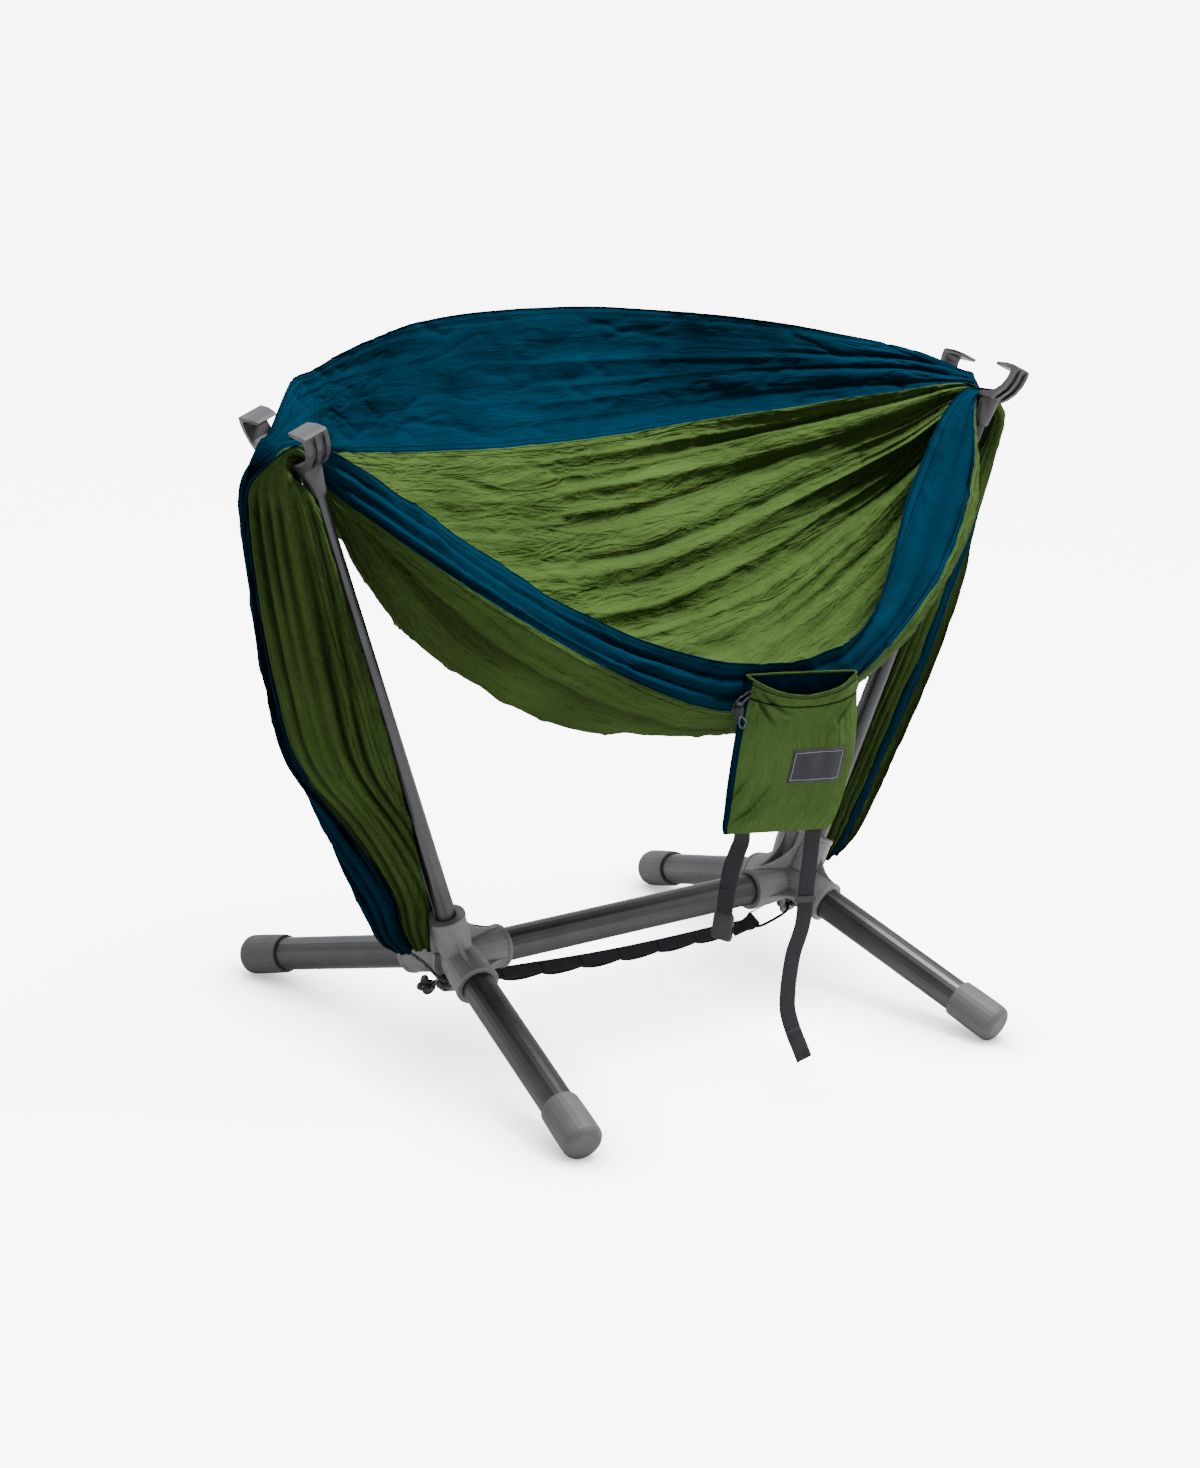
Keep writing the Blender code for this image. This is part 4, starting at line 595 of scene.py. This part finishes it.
# Hammock cloth, the CAD part's surface drawn finer, with its folds, seams and hems.
# Each line runs from mid-span to the hook as (sideways, above the hook base) in millimetres.
bedStations = (0.0, 0.186, 0.357, 0.512, 0.667, 0.775, 0.868, 0.940)
bedLines = {
    "nearHem": ((-305, -280), (-292, -266), (-240, -232), (-168, -179), (-104, -108),
                (-66, -54), (-40, -12), (-27.6, 14)),
    "nearSeam": ((-292, -352), (-284, -337), (-268, -295), (-240, -243), (-194, -180),
                 (-146, -130), (-78, -78), (-13, -30)),
    "nearFace": ((-228, -402), (-224, -388), (-208, -356), (-182, -305), (-146, -243),
                 (-110, -190), (-58, -124), (-16, -56)),
    "bellyNear": ((-115, -414), (-112, -405), (-105, -388), (-90, -345), (-75, -287),
                  (-58, -233), (-32, -158), (-15, -78)),
    "bellyFar": ((95, -362), (95, -357), (90, -334), (82, -297), (68, -237), (52, -187),
                 (28, -124), (8, -56)),
    "farSeam": ((255, -80), (262, -80), (268, -76), (245, -64), (190, -44), (135, -23),
                (78, -4), (33.6, 12)),
    "farMiddle": ((310, 12), (312, 10), (304, 10), (266, 16), (208, 24), (154, 30),
                  (104, 34), (52, 34)),
    "farHem": ((340, 111), (340, 108), (321, 101), (270, 96), (220, 86), (170, 75),
               (124, 64), (74, 52))}
# Other places by station: near the left hook the belly is drawn up and the far hem stands
# higher, near the right hook the near strip stays wide.
halfLines = {
    -1: {"nearFace": {5: (-104, -172), 6: (-52, -87), 7: (-17, -40)},
         "bellyNear": {4: (-74, -272), 5: (-56, -190), 6: (-34, -94), 7: (-12, -34)},
         "bellyFar": {5: (50, -162), 6: (26, -88), 7: (6, -32)},
         "farHem": {5: (172, 79), 6: (128, 81), 7: (80, 74)}},
    1: {"nearHem": {4: (-86.3, -122.6), 5: (-47, -69.6), 6: (-22.1, -16.2), 7: (-18.1, 16.2)},
        "nearSeam": {5: (-150.9, -129), 6: (-102.5, -70.9), 7: (-46, -17)}}}
# The lines' places on the hook and just past it, line by line.
hookNear = {-1: (((-16, 22), (-6, 14)), ((-31, 26), (-24, 30)), ((-24, -4), (-24, 10))),
            1: (((-30, 12), (-22, 14)), ((-16, 4), (-16, 10)), ((-13, -16), (-13, 0)))}
hookFar = (((-8, -30), (-9, -6)), ((4, -22), (2, -4)), ((18, 14), (12, 12)),
           ((26, 26), (24, 24)), ((42, 33), (34, 30)))
# The lines' places in a drape's section, as shares of its depth and half width, in its
# upper and lower part, and the heights between which one turns into the other.
drapes = {-1: (((0.87, 0.56), (0.99, 0.16), (0.42, -1.16), (0.00, -1.22), (0.05, 0.72),
                (0.70, 0.95), (0.92, 0.88), (1.04, 0.50)),
               ((0.60, 0.25), (0.46, -0.34), (0.16, -1.00), (0.00, -1.05), (0.05, 0.45),
                (0.50, 0.95), (1.00, 0.10), (0.66, -1.00)), 0.44, 0.12),
          1: (((0.92, -0.22), (0.79, -0.60), (0.30, -1.02), (0.02, -0.78), (0.08, 0.60),
               (0.93, 0.15), (0.80, 0.70), (0.45, 0.95)),
              ((0.74, -0.66), (0.38, -0.98), (0.10, -1.00), (0.00, -0.70), (0.08, 0.60),
               (1.00, 0.20), (0.86, 0.72), (0.45, 0.95)), 0.84, 0.56)}
# Rows between two stations, columns between two lines with where these carry a band, and
# how wide and proud a band is.
cloth = {"bedSteps": 15, "hookSteps": 7, "drapeSteps": 13, "columns": (24, 26, 34, 58, 98, 34, 32),
         "bandFirst": (1, 1, 0, 0, 0, 1, 0), "bandLast": (1, 0, 0, 0, 1, 0, 1),
         "band": 0.0112, "step": 0.0012, "proud": 0.0007}


def linePoints(name, side):
    order = list(bedLines).index(name)
    line = dict(enumerate(bedLines[name]))
    line.update(halfLines[side].get(name, {}))
    points = [(side * hookX * share, sideways / 1000, hookZ + above / 1000)
              for share, (sideways, above) in zip(bedStations, line.values())]
    lean = math.atan2(place["poleLean"], place["poleRise"])
    for (sideways, rise), past in zip((hookNear[side] + hookFar)[order], (0.0, 0.023)):
        x = hookX + past * math.cos(lean) + rise / 1000 * math.sin(lean)
        z = hookZ - past * math.sin(lean) + rise / 1000 * math.cos(lean)
        points.append((side * x, sideways / 1000, z))
    above, below, start, stop = drapes[side]
    for share, gap, ridge, half in drapeRows:
        z = neckZ + (hookZ - neckZ) * share
        t = easy(clamp((share - stop) / (start - stop)))
        depth, width = (low + (high - low) * t for low, high in zip(below[order], above[order]))
        inner, outer = drapeReach(z, gap, ridge)
        x = poleAxisX(z) + inner + (outer - inner) * depth
        points.append((side * x, width * half / 1000, z))
    return np.array(points)


# Shares of the way between two lines where the columns lie: even ones, and close ones
# that draw the step at the edge of a seam or hem band.
def columnPlaces(count, width, bandFirst, bandLast):
    steps = [cloth["band"] / width, (cloth["band"] + cloth["step"]) / width]
    extra = steps * bandFirst + [1 - step for step in steps] * bandLast
    even = [p for p in np.linspace(0.0, 1.0, count, endpoint=False)
            if p == 0.0 or all(abs(p - e) > 0.0022 / width for e in extra)]
    return sorted(even + extra)


def clothGrid():
    pieces = len(bedStations) - 1
    bed = pieces * cloth["bedSteps"] + 2 * cloth["hookSteps"]
    steps = ([cloth["bedSteps"]] * pieces + [cloth["hookSteps"]] * 3
             + [cloth["drapeSteps"]] * (len(drapeRows) - 1))
    left, right = (np.stack([smoothPath(linePoints(name, side), steps) for name in bedLines])
                   for side in (-1, 1))
    lines = np.concatenate([left[:, :0:-1], right], axis=1)
    widths = np.linalg.norm(np.diff(lines[:, lines.shape[1] // 2], axis=0), axis=1)
    p = lengthened(lines)
    columns = []
    starts = []
    for k, spec in enumerate(zip(cloth["columns"], widths, cloth["bandFirst"], cloth["bandLast"])):
        starts.append(len(columns))
        columns += [blend(*p[k:k + 4], t) for t in columnPlaces(*spec)]
    columns.append(lines[-1])
    # share of the span from mid-span (0) through the hook (1) to the end (2), per row
    half = np.concatenate([np.linspace(0, 1, bed, endpoint=False),
                           np.linspace(1, 2, sum(steps) - bed + 1)])
    return np.stack(columns, axis=1), starts, np.concatenate([half[:0:-1], half])


# A fold with a sharp edge and a round back: 1 - 2 |sin(pi x)| to the power 0.75.
def pleat(x):
    return 1 - 2 * np.abs(np.sin(np.pi * x)) ** 0.75


# A groove at each whole number: 1 - |sin(pi x)| to a power; a small one makes it narrow.
def groove(x, power=0.6):
    return 1 - np.abs(np.sin(np.pi * x)) ** power


# Folds follow lines of equal share across the cloth, so they fan out from the hooks and
# run together at the ends. Broad ones carry middle and fine pleats: each kind with its
# count and its height in percent of its own width, along the left and the right half of
# the bed from mid-span (0) to the hooks (1), then along both drapes to their ends (2).
foldSpans = (0.0, 0.25, 0.45, 0.62, 0.78, 0.90, 0.985, 1.04, 1.14, 1.35, 1.75, 1.93, 2.0)
foldKinds = {
    "broad": (7.0, (0, 1, 2, 4, 7, 8, 3), (0, 3, 7, 10, 12, 11, 3), (3, 4, 3, 3, 5, 8)),
    "middle": (15.5, (2, 2, 3, 6, 11, 14, 7), (6, 12, 17, 20, 22, 21, 8), (7, 5, 4, 4, 7, 10)),
    "fine": (34.0, (5, 5, 8, 12, 18, 20, 10), (8, 13, 18, 22, 24, 22, 10),
             (10, 7, 6, 6, 12, 16))}


def normalsOf(grid):
    return unit(np.cross(np.gradient(grid, axis=0), np.gradient(grid, axis=1)))


# Moves the grid's points in and out for the folds. Returns them with u and v, the places
# of columns and rows on the flat cloth, and the painted shade of each point.
def foldCloth(grid, span, nearColumn, bellyColumn, farColumn):
    stepAcross = np.linalg.norm(np.diff(grid, axis=1), axis=2)
    section = stepAcross.sum(axis=1)
    middle = len(grid) // 2
    u = runOf(grid[middle])
    v = runOf(grid[:, grid.shape[1] // 2])
    share = (u / u[-1])[None, :]
    across = u[None, :]
    run = v[:, None]
    right = np.arange(len(grid)) >= middle
    inBed = (span < 1.0)[:, None]
    inDrape = clamp((span - 1.02) / 0.10)[:, None]
    down = (u - u[nearColumn]) / (u[bellyColumn] - u[nearColumn])
    belly = clamp(down * 8) * clamp((1.15 - down) * 6)
    nearX = grid[:, nearColumn, 0]
    leftward = np.interp(nearX, (-0.62, -0.54, -0.2, 0.1), (0.5, 1.0, 0.7, 0.0))[:, None] * inBed
    shift = 0.0
    shade = 0.0
    for k, (name, (count, *beds, ends)) in enumerate(foldKinds.items()):
        leftHigh, rightHigh = (np.interp(span, foldSpans, bed + ends) / 100 for bed in beds)
        high = np.where(right, rightHigh, leftHigh) * section / count
        halves = np.where(right, 0.0, 11.0)[:, None]
        drift = noise(share * count * 0.9 + 3, run * 2.4 + halves, 5 + k) * 0.34
        x = count * share + drift + 0.37 * k
        wave = {"broad": np.sin(2 * np.pi * x), "middle": -pleat(x), "fine": pleat(x)}[name]
        strength = 0.70 + 1.1 * noise(share * count * 0.55 + 17, run * 3.1 + 5, 12 + k)
        strength = np.clip(strength, 0.08, 1.7) * (1 + 1.3 * belly * leftward)
        shift = shift + high[:, None] * strength * (wave + 0.9 * inDrape)
        # painted shade in the grooves of the middle and fine folds, more where they are deep
        if name != "broad":
            deep = clamp(high / 0.007)[:, None]
            shade = shade + 0.32 * groove(x) * strength * deep
    # grooves down the drapes, shallow where they would reach the pole; dark is how much painted
    # shade lies in them
    part = np.concatenate([0 * run, np.cumsum(stepAcross, axis=1)], axis=1)
    part = part / part[:, -1:]
    poleSide = np.abs(grid[:, :, 0]) - poleAxisX(grid[:, :, 2])
    byPole = 1 - 0.85 * clamp((0.048 - poleSide) / 0.016)
    for count, high, power, seed, dark in ((17.0, 0.50, 0.95, 61, 1.0),
                                           (39.0, 0.32, 0.6, 63, 0.45)):
        halves = np.where(right, 0.0, 7.0)[:, None]
        drift = noise(part * count * 0.5 + 5, run * 3.2 + halves, seed) * 0.45
        tall = 0.75 + 0.9 * noise(part * count * 0.6 + 2, run * 2.7, seed + 1)
        cut = np.clip(tall, 0.35, 1.3) * groove(count * part + drift, power)
        shift = shift + inDrape * (section / count * high)[:, None] * byPole * cut
        shade = shade + inDrape * dark * cut
    # one long hollow down the belly from the left hook, with painted shade in it
    hollow = np.exp(-((down - 0.34 - 0.05 * np.sin(run * 7)) / 0.075) ** 2) * leftward
    shift = shift + 0.010 * hollow
    shade = shade + 0.75 * hollow
    # pleats along the near strip, flat by its seam and towards the right hook, with painted shade
    # in their grooves
    strip = clamp(u / u[nearColumn])[None, :]
    drift = 0.22 * noise(np.full_like(run, 0.4), run * 5, 44)
    fade = np.interp(nearX, (-0.62, -0.5, -0.1, 0.10, 0.30, 0.66),
                     (0.3, 1.0, 0.9, 0.45, 0.12, 0.10))[:, None] * inBed
    pleats = (groove(2.7 * strip + drift + 0.30) * fade
              * clamp((0.98 - strip) / 0.08))
    shift = shift + 0.0130 * pleats
    shade = clamp(shade + 0.8 * pleats)
    shift = np.where(inBed & (across > u[farColumn]), shift * 0.45, shift)
    # crumples, and thin creases where a noise crosses its middle
    crease = noise(across * 48, run * 9, 21) * 0.0014
    crease = crease + noise(across * 22 + run * 14, run * 20 - across * 6, 22) * 0.0022
    thin = ((noise(across * 13 + run * 6 + 9, run * 12 - across * 5 + 4, 24) / 0.10, 0.0030),
            (noise(across * 24 - run * 9 + 31, run * 19 + across * 11, 25) / 0.12, 0.0022))
    for away, depth in thin:
        crease = crease - depth * np.exp(-away ** 2)
    calm = np.interp(span, (0.0, 0.9, 1.0, 1.1, 2.0), (1.0, 0.8, 0.3, 0.6, 0.6))[:, None]
    return grid + normalsOf(grid) * (shift + crease * calm)[:, :, None], u, v, shade


# Three panels between columns of the grid. Seam lines and hems are doubled bands, a
# little proud of the cloth; a free hem also gets a thin rolled edge.
def makeCloth():
    grid, starts, span = clothGrid()
    near, far, end = starts[1], starts[5], grid.shape[1] - 1
    grid, u, v, shade = foldCloth(grid, span, near, starts[3], far)
    normal = normalsOf(grid)
    for name, first, last, hems, finish, flat, area in (
            ("near", 0, near, (0,), teal, (0.10, 2.90), 0.22),
            ("centre", near, far, (), green, (0.80, 2.90), 1.75),
            ("far", far, end, (-1,), teal, (0.24, 2.90), 0.50)):
        part = slice(first, last + 1)
        edge = np.minimum(u[part] - u[first], u[last] - u[part])
        proud = np.where(edge < cloth["band"] + 0.0002, cloth["proud"], 0.0)
        points = grid[:, part] + normal[:, part] * proud[None, :, None]
        title = name + "_panel_cloth"
        values = {"edge": np.broadcast_to(edge, points.shape[:2]), "shade": shade[:, part]}
        panel = gridObject(title, points, (finish,), tableOf(u[part], v), values=values)
        rolls = [settle(tubeObject(title + "_hem", points[:, column], 0.0011, 6, finish))
                 for column in hems]
        settle(panel, "panel_" + name)


makeCloth()
print("cloth")


# Stuff sack: an open pouch with a wide hem round its mouth, creased by what it hangs from.
# Rows are level, then in millimetres half width, bulge of the front and of the back and
# shift to the right.
sackLevels = ((0.00, 84, 24, 4, 1), (0.05, 86, 22, 4, 2), (0.14, 88, 21, 5, 1),
              (0.32, 92, 20, 6, 1), (0.52, 94, 19, 6, -1), (0.72, 92, 16, 6, -6),
              (0.86, 89, 12, 5, -10), (0.95, 86, 7, 3, -14), (1.00, 81, 1.8, 1.4, -16))
sack = {"height": 0.232, "sag": 0.026, "hem": 0.027, "levels": 90, "columns": 96,
        "strip": 0.0065, "lining": 50}
# Pinches, from where to where and how high, as (aside, below the mouth) in metres.
sackPinches = (((-0.080, 0.020), (-0.046, 0.075), 0.0050),
               ((-0.070, 0.016), (-0.022, 0.052), 0.0042),
               ((0.074, 0.024), (0.040, 0.080), 0.0030),
               ((-0.060, 0.215), (-0.020, 0.150), 0.0030),
               ((-0.084, 0.190), (-0.058, 0.140), 0.0034),
               ((-0.076, 0.222), (-0.040, 0.190), 0.0030))
sackFine = smoothPath(sackLevels, 10)


def sackColumn(share, k):
    return np.interp(share, sackFine[:, 0], sackFine[:, k]) / 1000


# Creases of the sack's faces in metres outward: small crumples, upright puckers above the
# hem's stitches, and pinches that run in from the corners.
def sackCrease(a, below, face):
    small = noise(a * 55 + 40, below * 38 + face * 9, 31) * 0.0019
    small = small + noise(a * 120 + below * 50 + 70, below * 90 - a * 30, 32) * 0.0005
    inHem = clamp(1 - np.abs(below - 0.010) / 0.012)
    pucker = 0.0007 * np.sin(2 * np.pi * (a / 0.0105 + 0.35 * np.sin(a * 90))) * inHem
    seam = -0.0012 * np.exp(-((below - sack["hem"]) / 0.0016) ** 2)
    pinch = 0.0
    for start, stop, high in sackPinches:
        run = vec(*stop) - vec(*start)
        length = np.linalg.norm(run)
        t = ((a - start[0]) * run[0] + (below - start[1]) * run[1]) / length ** 2
        away = ((a - start[0]) * run[1] - (below - start[1]) * run[0]) / length
        ridge = np.exp(-(away / 0.0034) ** 2) - 0.6 * np.exp(-((away - 0.006) / 0.004) ** 2)
        pinch = pinch + high * ridge * clamp(1 - np.abs(t - 0.45) / 0.62)
    even = small + pucker + seam
    return (even + pinch if face > 0 else even * 0.5), pinch


# Point of the sack's outside at a width share from -1 to 1 and a level share.
def sackPoint(a, share, face, lift=0.0):
    half, front, back, shift = (sackColumn(share, k) for k in (1, 2, 3, 4))
    lens = np.maximum(1 - a * a, 0.0) ** 0.4
    sag = sack["sag"] * (1 - a * a) * np.maximum(1 - share / 0.3, 0.0) * (face > 0)
    below = share * sack["height"]
    crease = sackCrease(shift + a * half, below, face)[0] * np.minimum((1 - a * a) * 6, 1.0)
    out = face * ((front if face > 0 else back) * lens
                  + crease * clamp((1 - share) * 12) + lift)
    along = shift + a * (half + lift * np.abs(a) ** 6)
    return (sackTop + along[..., None] * sackAlong - (below + sag)[..., None] * upWay
            + out[..., None] * sackFront)


def sackSkin(levels, columns, lift, low=0.0, high=1.0):
    shares = np.linspace(low, high, levels)[:, None]
    turn = np.pi * np.arange(columns // 2) / (columns // 2)
    shares, a = np.broadcast_arrays(shares, -np.cos(turn)[None, :])
    return np.concatenate([sackPoint(a, shares, 1, lift), sackPoint(-a, shares, -1, lift)], axis=1)


# The body is green in front and teal behind and in a strip down its left side.
def makeSack():
    levels, columns = sack["levels"], sack["columns"]
    points = sackSkin(levels, columns, 0.0)
    below = np.linspace(0.0, sack["height"], levels)
    column = np.arange(columns)
    front = column < columns // 2
    middle = -np.cos(np.pi * (column + 0.5) / (columns // 2))
    kinds = np.where(front & (middle >= -1 + sack["strip"] / 0.09), 0, 1)
    spot = -np.cos(np.pi * column / (columns // 2))
    half = sackColumn(below / sack["height"], 1)
    # painted shade on the front in the pinches' grooves, and all round just under the hem's seam
    pinch = sackCrease(half[:, None] * spot[None, :], below[:, None], 1)[1]
    seam = 0.5 * np.exp(-((below - sack["hem"] - 0.0022) / 0.0012) ** 2)[:, None]
    shade = np.maximum(np.where(front[None, :], np.clip(-pinch / 0.0022, 0.0, 0.8), 0.0), seam)
    edge = np.broadcast_to(below[:, None] * 0.0092 / sack["hem"], (levels, columns))
    body = gridObject("sack_cloth", points, (sackGreen, sackTeal),
                      tableOf(runOf(points[30]), below), ringAcross=True,
                      kinds=kinds[None, :], values={"edge": edge, "shade": shade})
    skin = sackSkin(sack["lining"], columns, -0.0013, 0.004, 0.72)[:, ::-1]
    lining = gridObject("sack_lining", skin, (sackTeal,),
                        values={"edge": np.full(skin.shape[:2], 0.05)})
    rim = tubeObject("sack_rim", sackSkin(2, 120, -0.0006, 0.0, 0.01)[0], 0.0020, 10, sackGreen,
                     ring=True)
    settle(body, "sack_body")
    settle(lining)
    settle(rim)


# Blank patch: a woven label with a light line just inside its edge.
def makePatch():
    size = {"wide": 0.084, "high": 0.050, "aside": 0.032, "below": 0.1056, "margin": 0.0040,
            "line": 0.0011, "edge": 0.0008, "thick": 0.0013, "thin": 0.0002}

    def places(length):
        m, w, e = size["margin"], size["line"], size["edge"]
        middle = np.linspace(m + w, length - m - w, 24)
        return np.concatenate([[0.0, e, m], middle, [length - m, length - e, length]])
    x = places(size["wide"])
    z = places(size["high"])
    a, share = np.broadcast_arrays(
        ((x - size["wide"] / 2 + size["aside"]) / sackColumn(0.55, 1))[None, :],
        ((size["below"] + z) / sack["height"])[:, None])
    rise = np.full(a.shape, size["thin"])
    rise[1:-1, 1:-1] = size["thick"]
    kinds = np.zeros((len(z) - 1, len(x) - 1), int)
    kinds[2:-2, 2:-2] = 1
    kinds[3:-3, 3:-3] = 0
    points = sackPoint(a, share, 1) + rise[..., None] * sackFront
    patch = gridObject("blank_patch", points, (patchWeave, patchRim), tableOf(x, z), kinds=kinds)
    settle(patch, "sack_patch")


makeSack()
makePatch()
print("sack")


# Straps

# Stitches: short bars, one for each (middle, way, side way) and a length.
def stitches(name, places, length, width, height=0.0005):
    corners = np.array([(x, y, z) for x in (-1, 1) for y in (-1, 1) for z in (-1, 1)], float)
    faces = np.array([(0, 1, 3, 2), (4, 6, 7, 5), (0, 4, 5, 1), (2, 3, 7, 6), (0, 2, 6, 4),
                      (1, 5, 7, 3)])
    verts = []
    for middle, way, aside in places:
        way = unit(way)
        aside = unit(aside - way * np.dot(aside, way))
        axes = (way * length, aside * width, np.cross(way, aside) * height)
        verts.append(middle + corners @ (np.stack(axes) / 2))
    index = (faces[None] + 8 * np.arange(len(places))[:, None, None]).reshape(-1, 4)
    mesh = bpy.data.meshes.new(name)
    mesh.from_pydata(np.concatenate(verts).tolist(), [], index.tolist())
    settle(link(mesh, name, stitching))


# Rows of stitches across a strap at given distances from its end.
def acrossRows(path, ways, distances):
    run = runOf(path)
    tangents, across, out = ribbonFrame(path, ways)
    places = []
    for distance in distances:
        k = int(np.argmin(np.abs(run[-1] - distance - run)))
        for t in np.linspace(-0.5, 0.5, 9):
            places += [(path[k] + across[k] * 0.020 * t + out[k] * 0.0009 * face, across[k],
                        tangents[k]) for face in (1, -1)]
    return places


def makeStrap(name, node, *ribbon):
    return settle(ribbonObject(name, *ribbon), node)


# Two straps hang from the bottom seam; rows are (along the sack, out, up) in millimetres,
# for the long one with a share of its fall in the place of up.
longRows = ((0, 0, 0), (-0.8, 0.4, 0.10), (-1.6, 0.8, 0.20), (-2.4, 1.2, 0.30), (-3.2, 1.6, 0.40),
            (-8, 3, 0.46), (-15, 4.5, 0.53), (-18.5, 6, 0.62), (-19, 6, 0.71), (-16, 5, 0.79),
            (-5.5, 8, 0.88), (3.5, 12, 0.94), (12, 17, 1))
shortRows = ((0, 0, 0), (0, 0, -6), (-0.5, 0, -13), (-6, 2, -26), (-14, 5, -50), (-18, 7, -76),
             (-20, 8, -100), (-20.5, 8, -114))


def hangingStraps():
    bottom = sackTop - upWay * (sack["height"] + 0.0003)
    fall = (0.034 - bottom[2]) * 1000
    rows = [(a, f, fall * t) for a, f, t in longRows]
    path = evenPath(bySack(bottom + sackAlong * 0.042, rows), 0.0020)
    wave = 0.0007 * noise(np.linspace(0, 9, len(path)), np.full(len(path), 2.5), 41)
    path = path + wave[:, None] * sackFront
    makeStrap("long_strap_webbing", "long_strap", path, sackAlong, 0.025, 0.0017, 0.0003, 2)
    tail = path[-26:-1] + sackFront * 0.0017
    tail[0] = tail[0] - sackFront * 0.0009
    makeStrap("long_strap_end", None, tail, sackAlong, 0.0246, 0.0016, 0.0002, 3)
    rows = acrossRows(tail, sackAlong, (0.004, 0.008, 0.012, 0.036, 0.040))
    stitches("long_strap_stitches", rows[::2], 0.0019, 0.0007)

    path = evenPath(bySack(bottom - sackAlong * 0.068, shortRows), 0.0018)
    turn = math.radians(52.0) * np.linspace(0, 1, len(path))[:, None]
    ways = np.cos(turn) * sackAlong + np.sin(turn) * sackFront
    makeStrap("short_strap_webbing", "short_strap", path, ways, 0.025, 0.0017, 0.0003, 4)
    doubled = (path + ribbonFrame(path, ways)[2] * 0.0018)[-20:]
    makeStrap("short_strap_fold", None, doubled, ways[-20:], 0.0246, 0.0016, 0.0002, 5)
    rows = acrossRows(doubled, ways[-20:], (0.006, 0.016, 0.026))
    stitches("short_strap_stitches", rows, 0.0019, 0.0007)


# Strap under the spine: round the lug's rim on the left and the clip's wire on the
# right, its ends sewn back, with six loops sewn on below.
clipSlot = slotCentre(1) + vec(0.0006, 0.0, 0.0)
clipAlong = unit(vec(-0.078, 0.0, hubZ - 0.069 - clipSlot[2]))
clipAcross = vec(0.0, math.cos(math.radians(35)), math.sin(math.radians(35)))
clipAcross = unit(clipAcross - clipAlong * clipAcross.dot(clipAlong))
strapEnds = (slotCentre(-1) + vec(0.0065, 0.0, 0.0), clipSlot + clipAlong * 0.075)


def strapRun(t):
    begin = vec(strapEnds[0][0] + 0.085, 0.0, hubZ - 0.054)
    stop = vec(strapEnds[1][0] - 0.045, 0.0, hubZ - 0.070)
    return begin + (stop - begin) * t - upWay * 0.006 * math.sin(math.pi * t)


def endLoop(centre, along, axis, radius):
    along = unit(along - axis * along.dot(axis))
    beside = np.cross(axis, along)
    return ([centre + along * (radius + away) - beside * 0.0024 for away in (0.036, 0.0198, 0.009)]
            + [centre + (along * math.cos(turn) + beside * math.sin(turn)) * radius
               for turn in np.radians(np.linspace(-60, -300, 13))]
            + [centre + along * (radius + 0.009)])


def spineStrap():
    left, right = strapEnds
    down = vec(0.0, 0.71, -0.71)
    wide = vec(0.0, 0.71, 0.71)
    head = endLoop(left, strapRun(0.0) - left, upWay, 0.0058)
    tail = endLoop(right, strapRun(1.0) - right, clipAcross, 0.0086)
    middle = [strapRun(t) for t in np.linspace(0.0, 1.0, 9)]
    rough = np.array(head + middle + tail[::-1])
    spec = np.array([(*upWay, 0.013)] * len(head) + [(*wide, 0.020)] * len(middle)
                    + [(*clipAcross, 0.020)] * len(tail))
    path = evenPath(rough, 0.0022)
    coarse = runOf(smoothPath(rough, 12))[::12]
    spec = readAt(np.linspace(0.0, coarse[-1], len(path)), coarse, spec)
    makeStrap("spine_strap_webbing", "spine_strap", path, spec[:, :3], spec[:, 3], 0.0018,
              0.0003, 6)
    bars = []
    local = np.linspace(0.0, 1.0, 29)
    sag = np.maximum(np.sin(np.pi * local), 0.0) ** 0.8
    for k in range(6):
        loop = np.array([strapRun((k + t) / 6) + down * (0.0015 + 0.013 * low)
                         for t, low in zip(local, sag)])
        makeStrap(f"strap_loop_{k + 1}", None, loop, wide, 0.0196, 0.0016, 0.0004, 50 + k)
        for t in ((k + 0.02) / 6, (k + 0.05) / 6):
            bars += [(strapRun(t) + down * rise + wide * n * 0.0019, wide, vec(1, 0, 0))
                     for n in range(-4, 5) for rise in (-0.0012, 0.0030)]
    for centre, end, radius, way, width in ((left, 0.0, 0.0058, upWay, 0.011),
                                            (right, 1.0, 0.0086, clipAcross, 0.017)):
        toward = unit(strapRun(end) - centre)
        beside = unit(np.cross(way, toward))
        bars += [(centre + toward * (radius + step) + beside * rise + way * n * width, way, toward)
                 for step in (0.012, 0.016, 0.028, 0.032) for n in np.linspace(-0.5, 0.5, 7)
                 for rise in (0.0014, -0.0040)]
    stitches("spine_strap_stitches", bars, 0.0017, 0.0008)


hangingStraps()
spineStrap()
print("straps")


# Finishes of the solids that stay as the CAD part has them, and widths of their rounded edges

finishes = {"spine_tube": tube, "leg_tube": tube, "upright_pole": tube, "hub": hubNylon,
            "foot_cap": capRubber, "hook_head": hookNylon, "clip_body": black, "clip_gate": steel,
            "strap_slider": acetal, "buckle_socket": acetal, "cord_lock": lockNylon,
            "lock_button": lockNylon}
roundings = {"hub": 0.0011, "hook_head": 0.0007, "strap_slider": 0.0007, "buckle_socket": 0.0007}
for name, node in nodes.items():
    for start in finishes:
        if name.startswith(start):
            for slot in node.material_slots:
                slot.material = finishes[start]
            if start in roundings:
                edges = node.modifiers.new("edges", "BEVEL")
                edges.width = roundings[start]
                edges.segments = 2
                edges.limit_method = "ANGLE"
                edges.angle_limit = math.radians(32)
                edges.use_clamp_overlap = True
print("finishes")
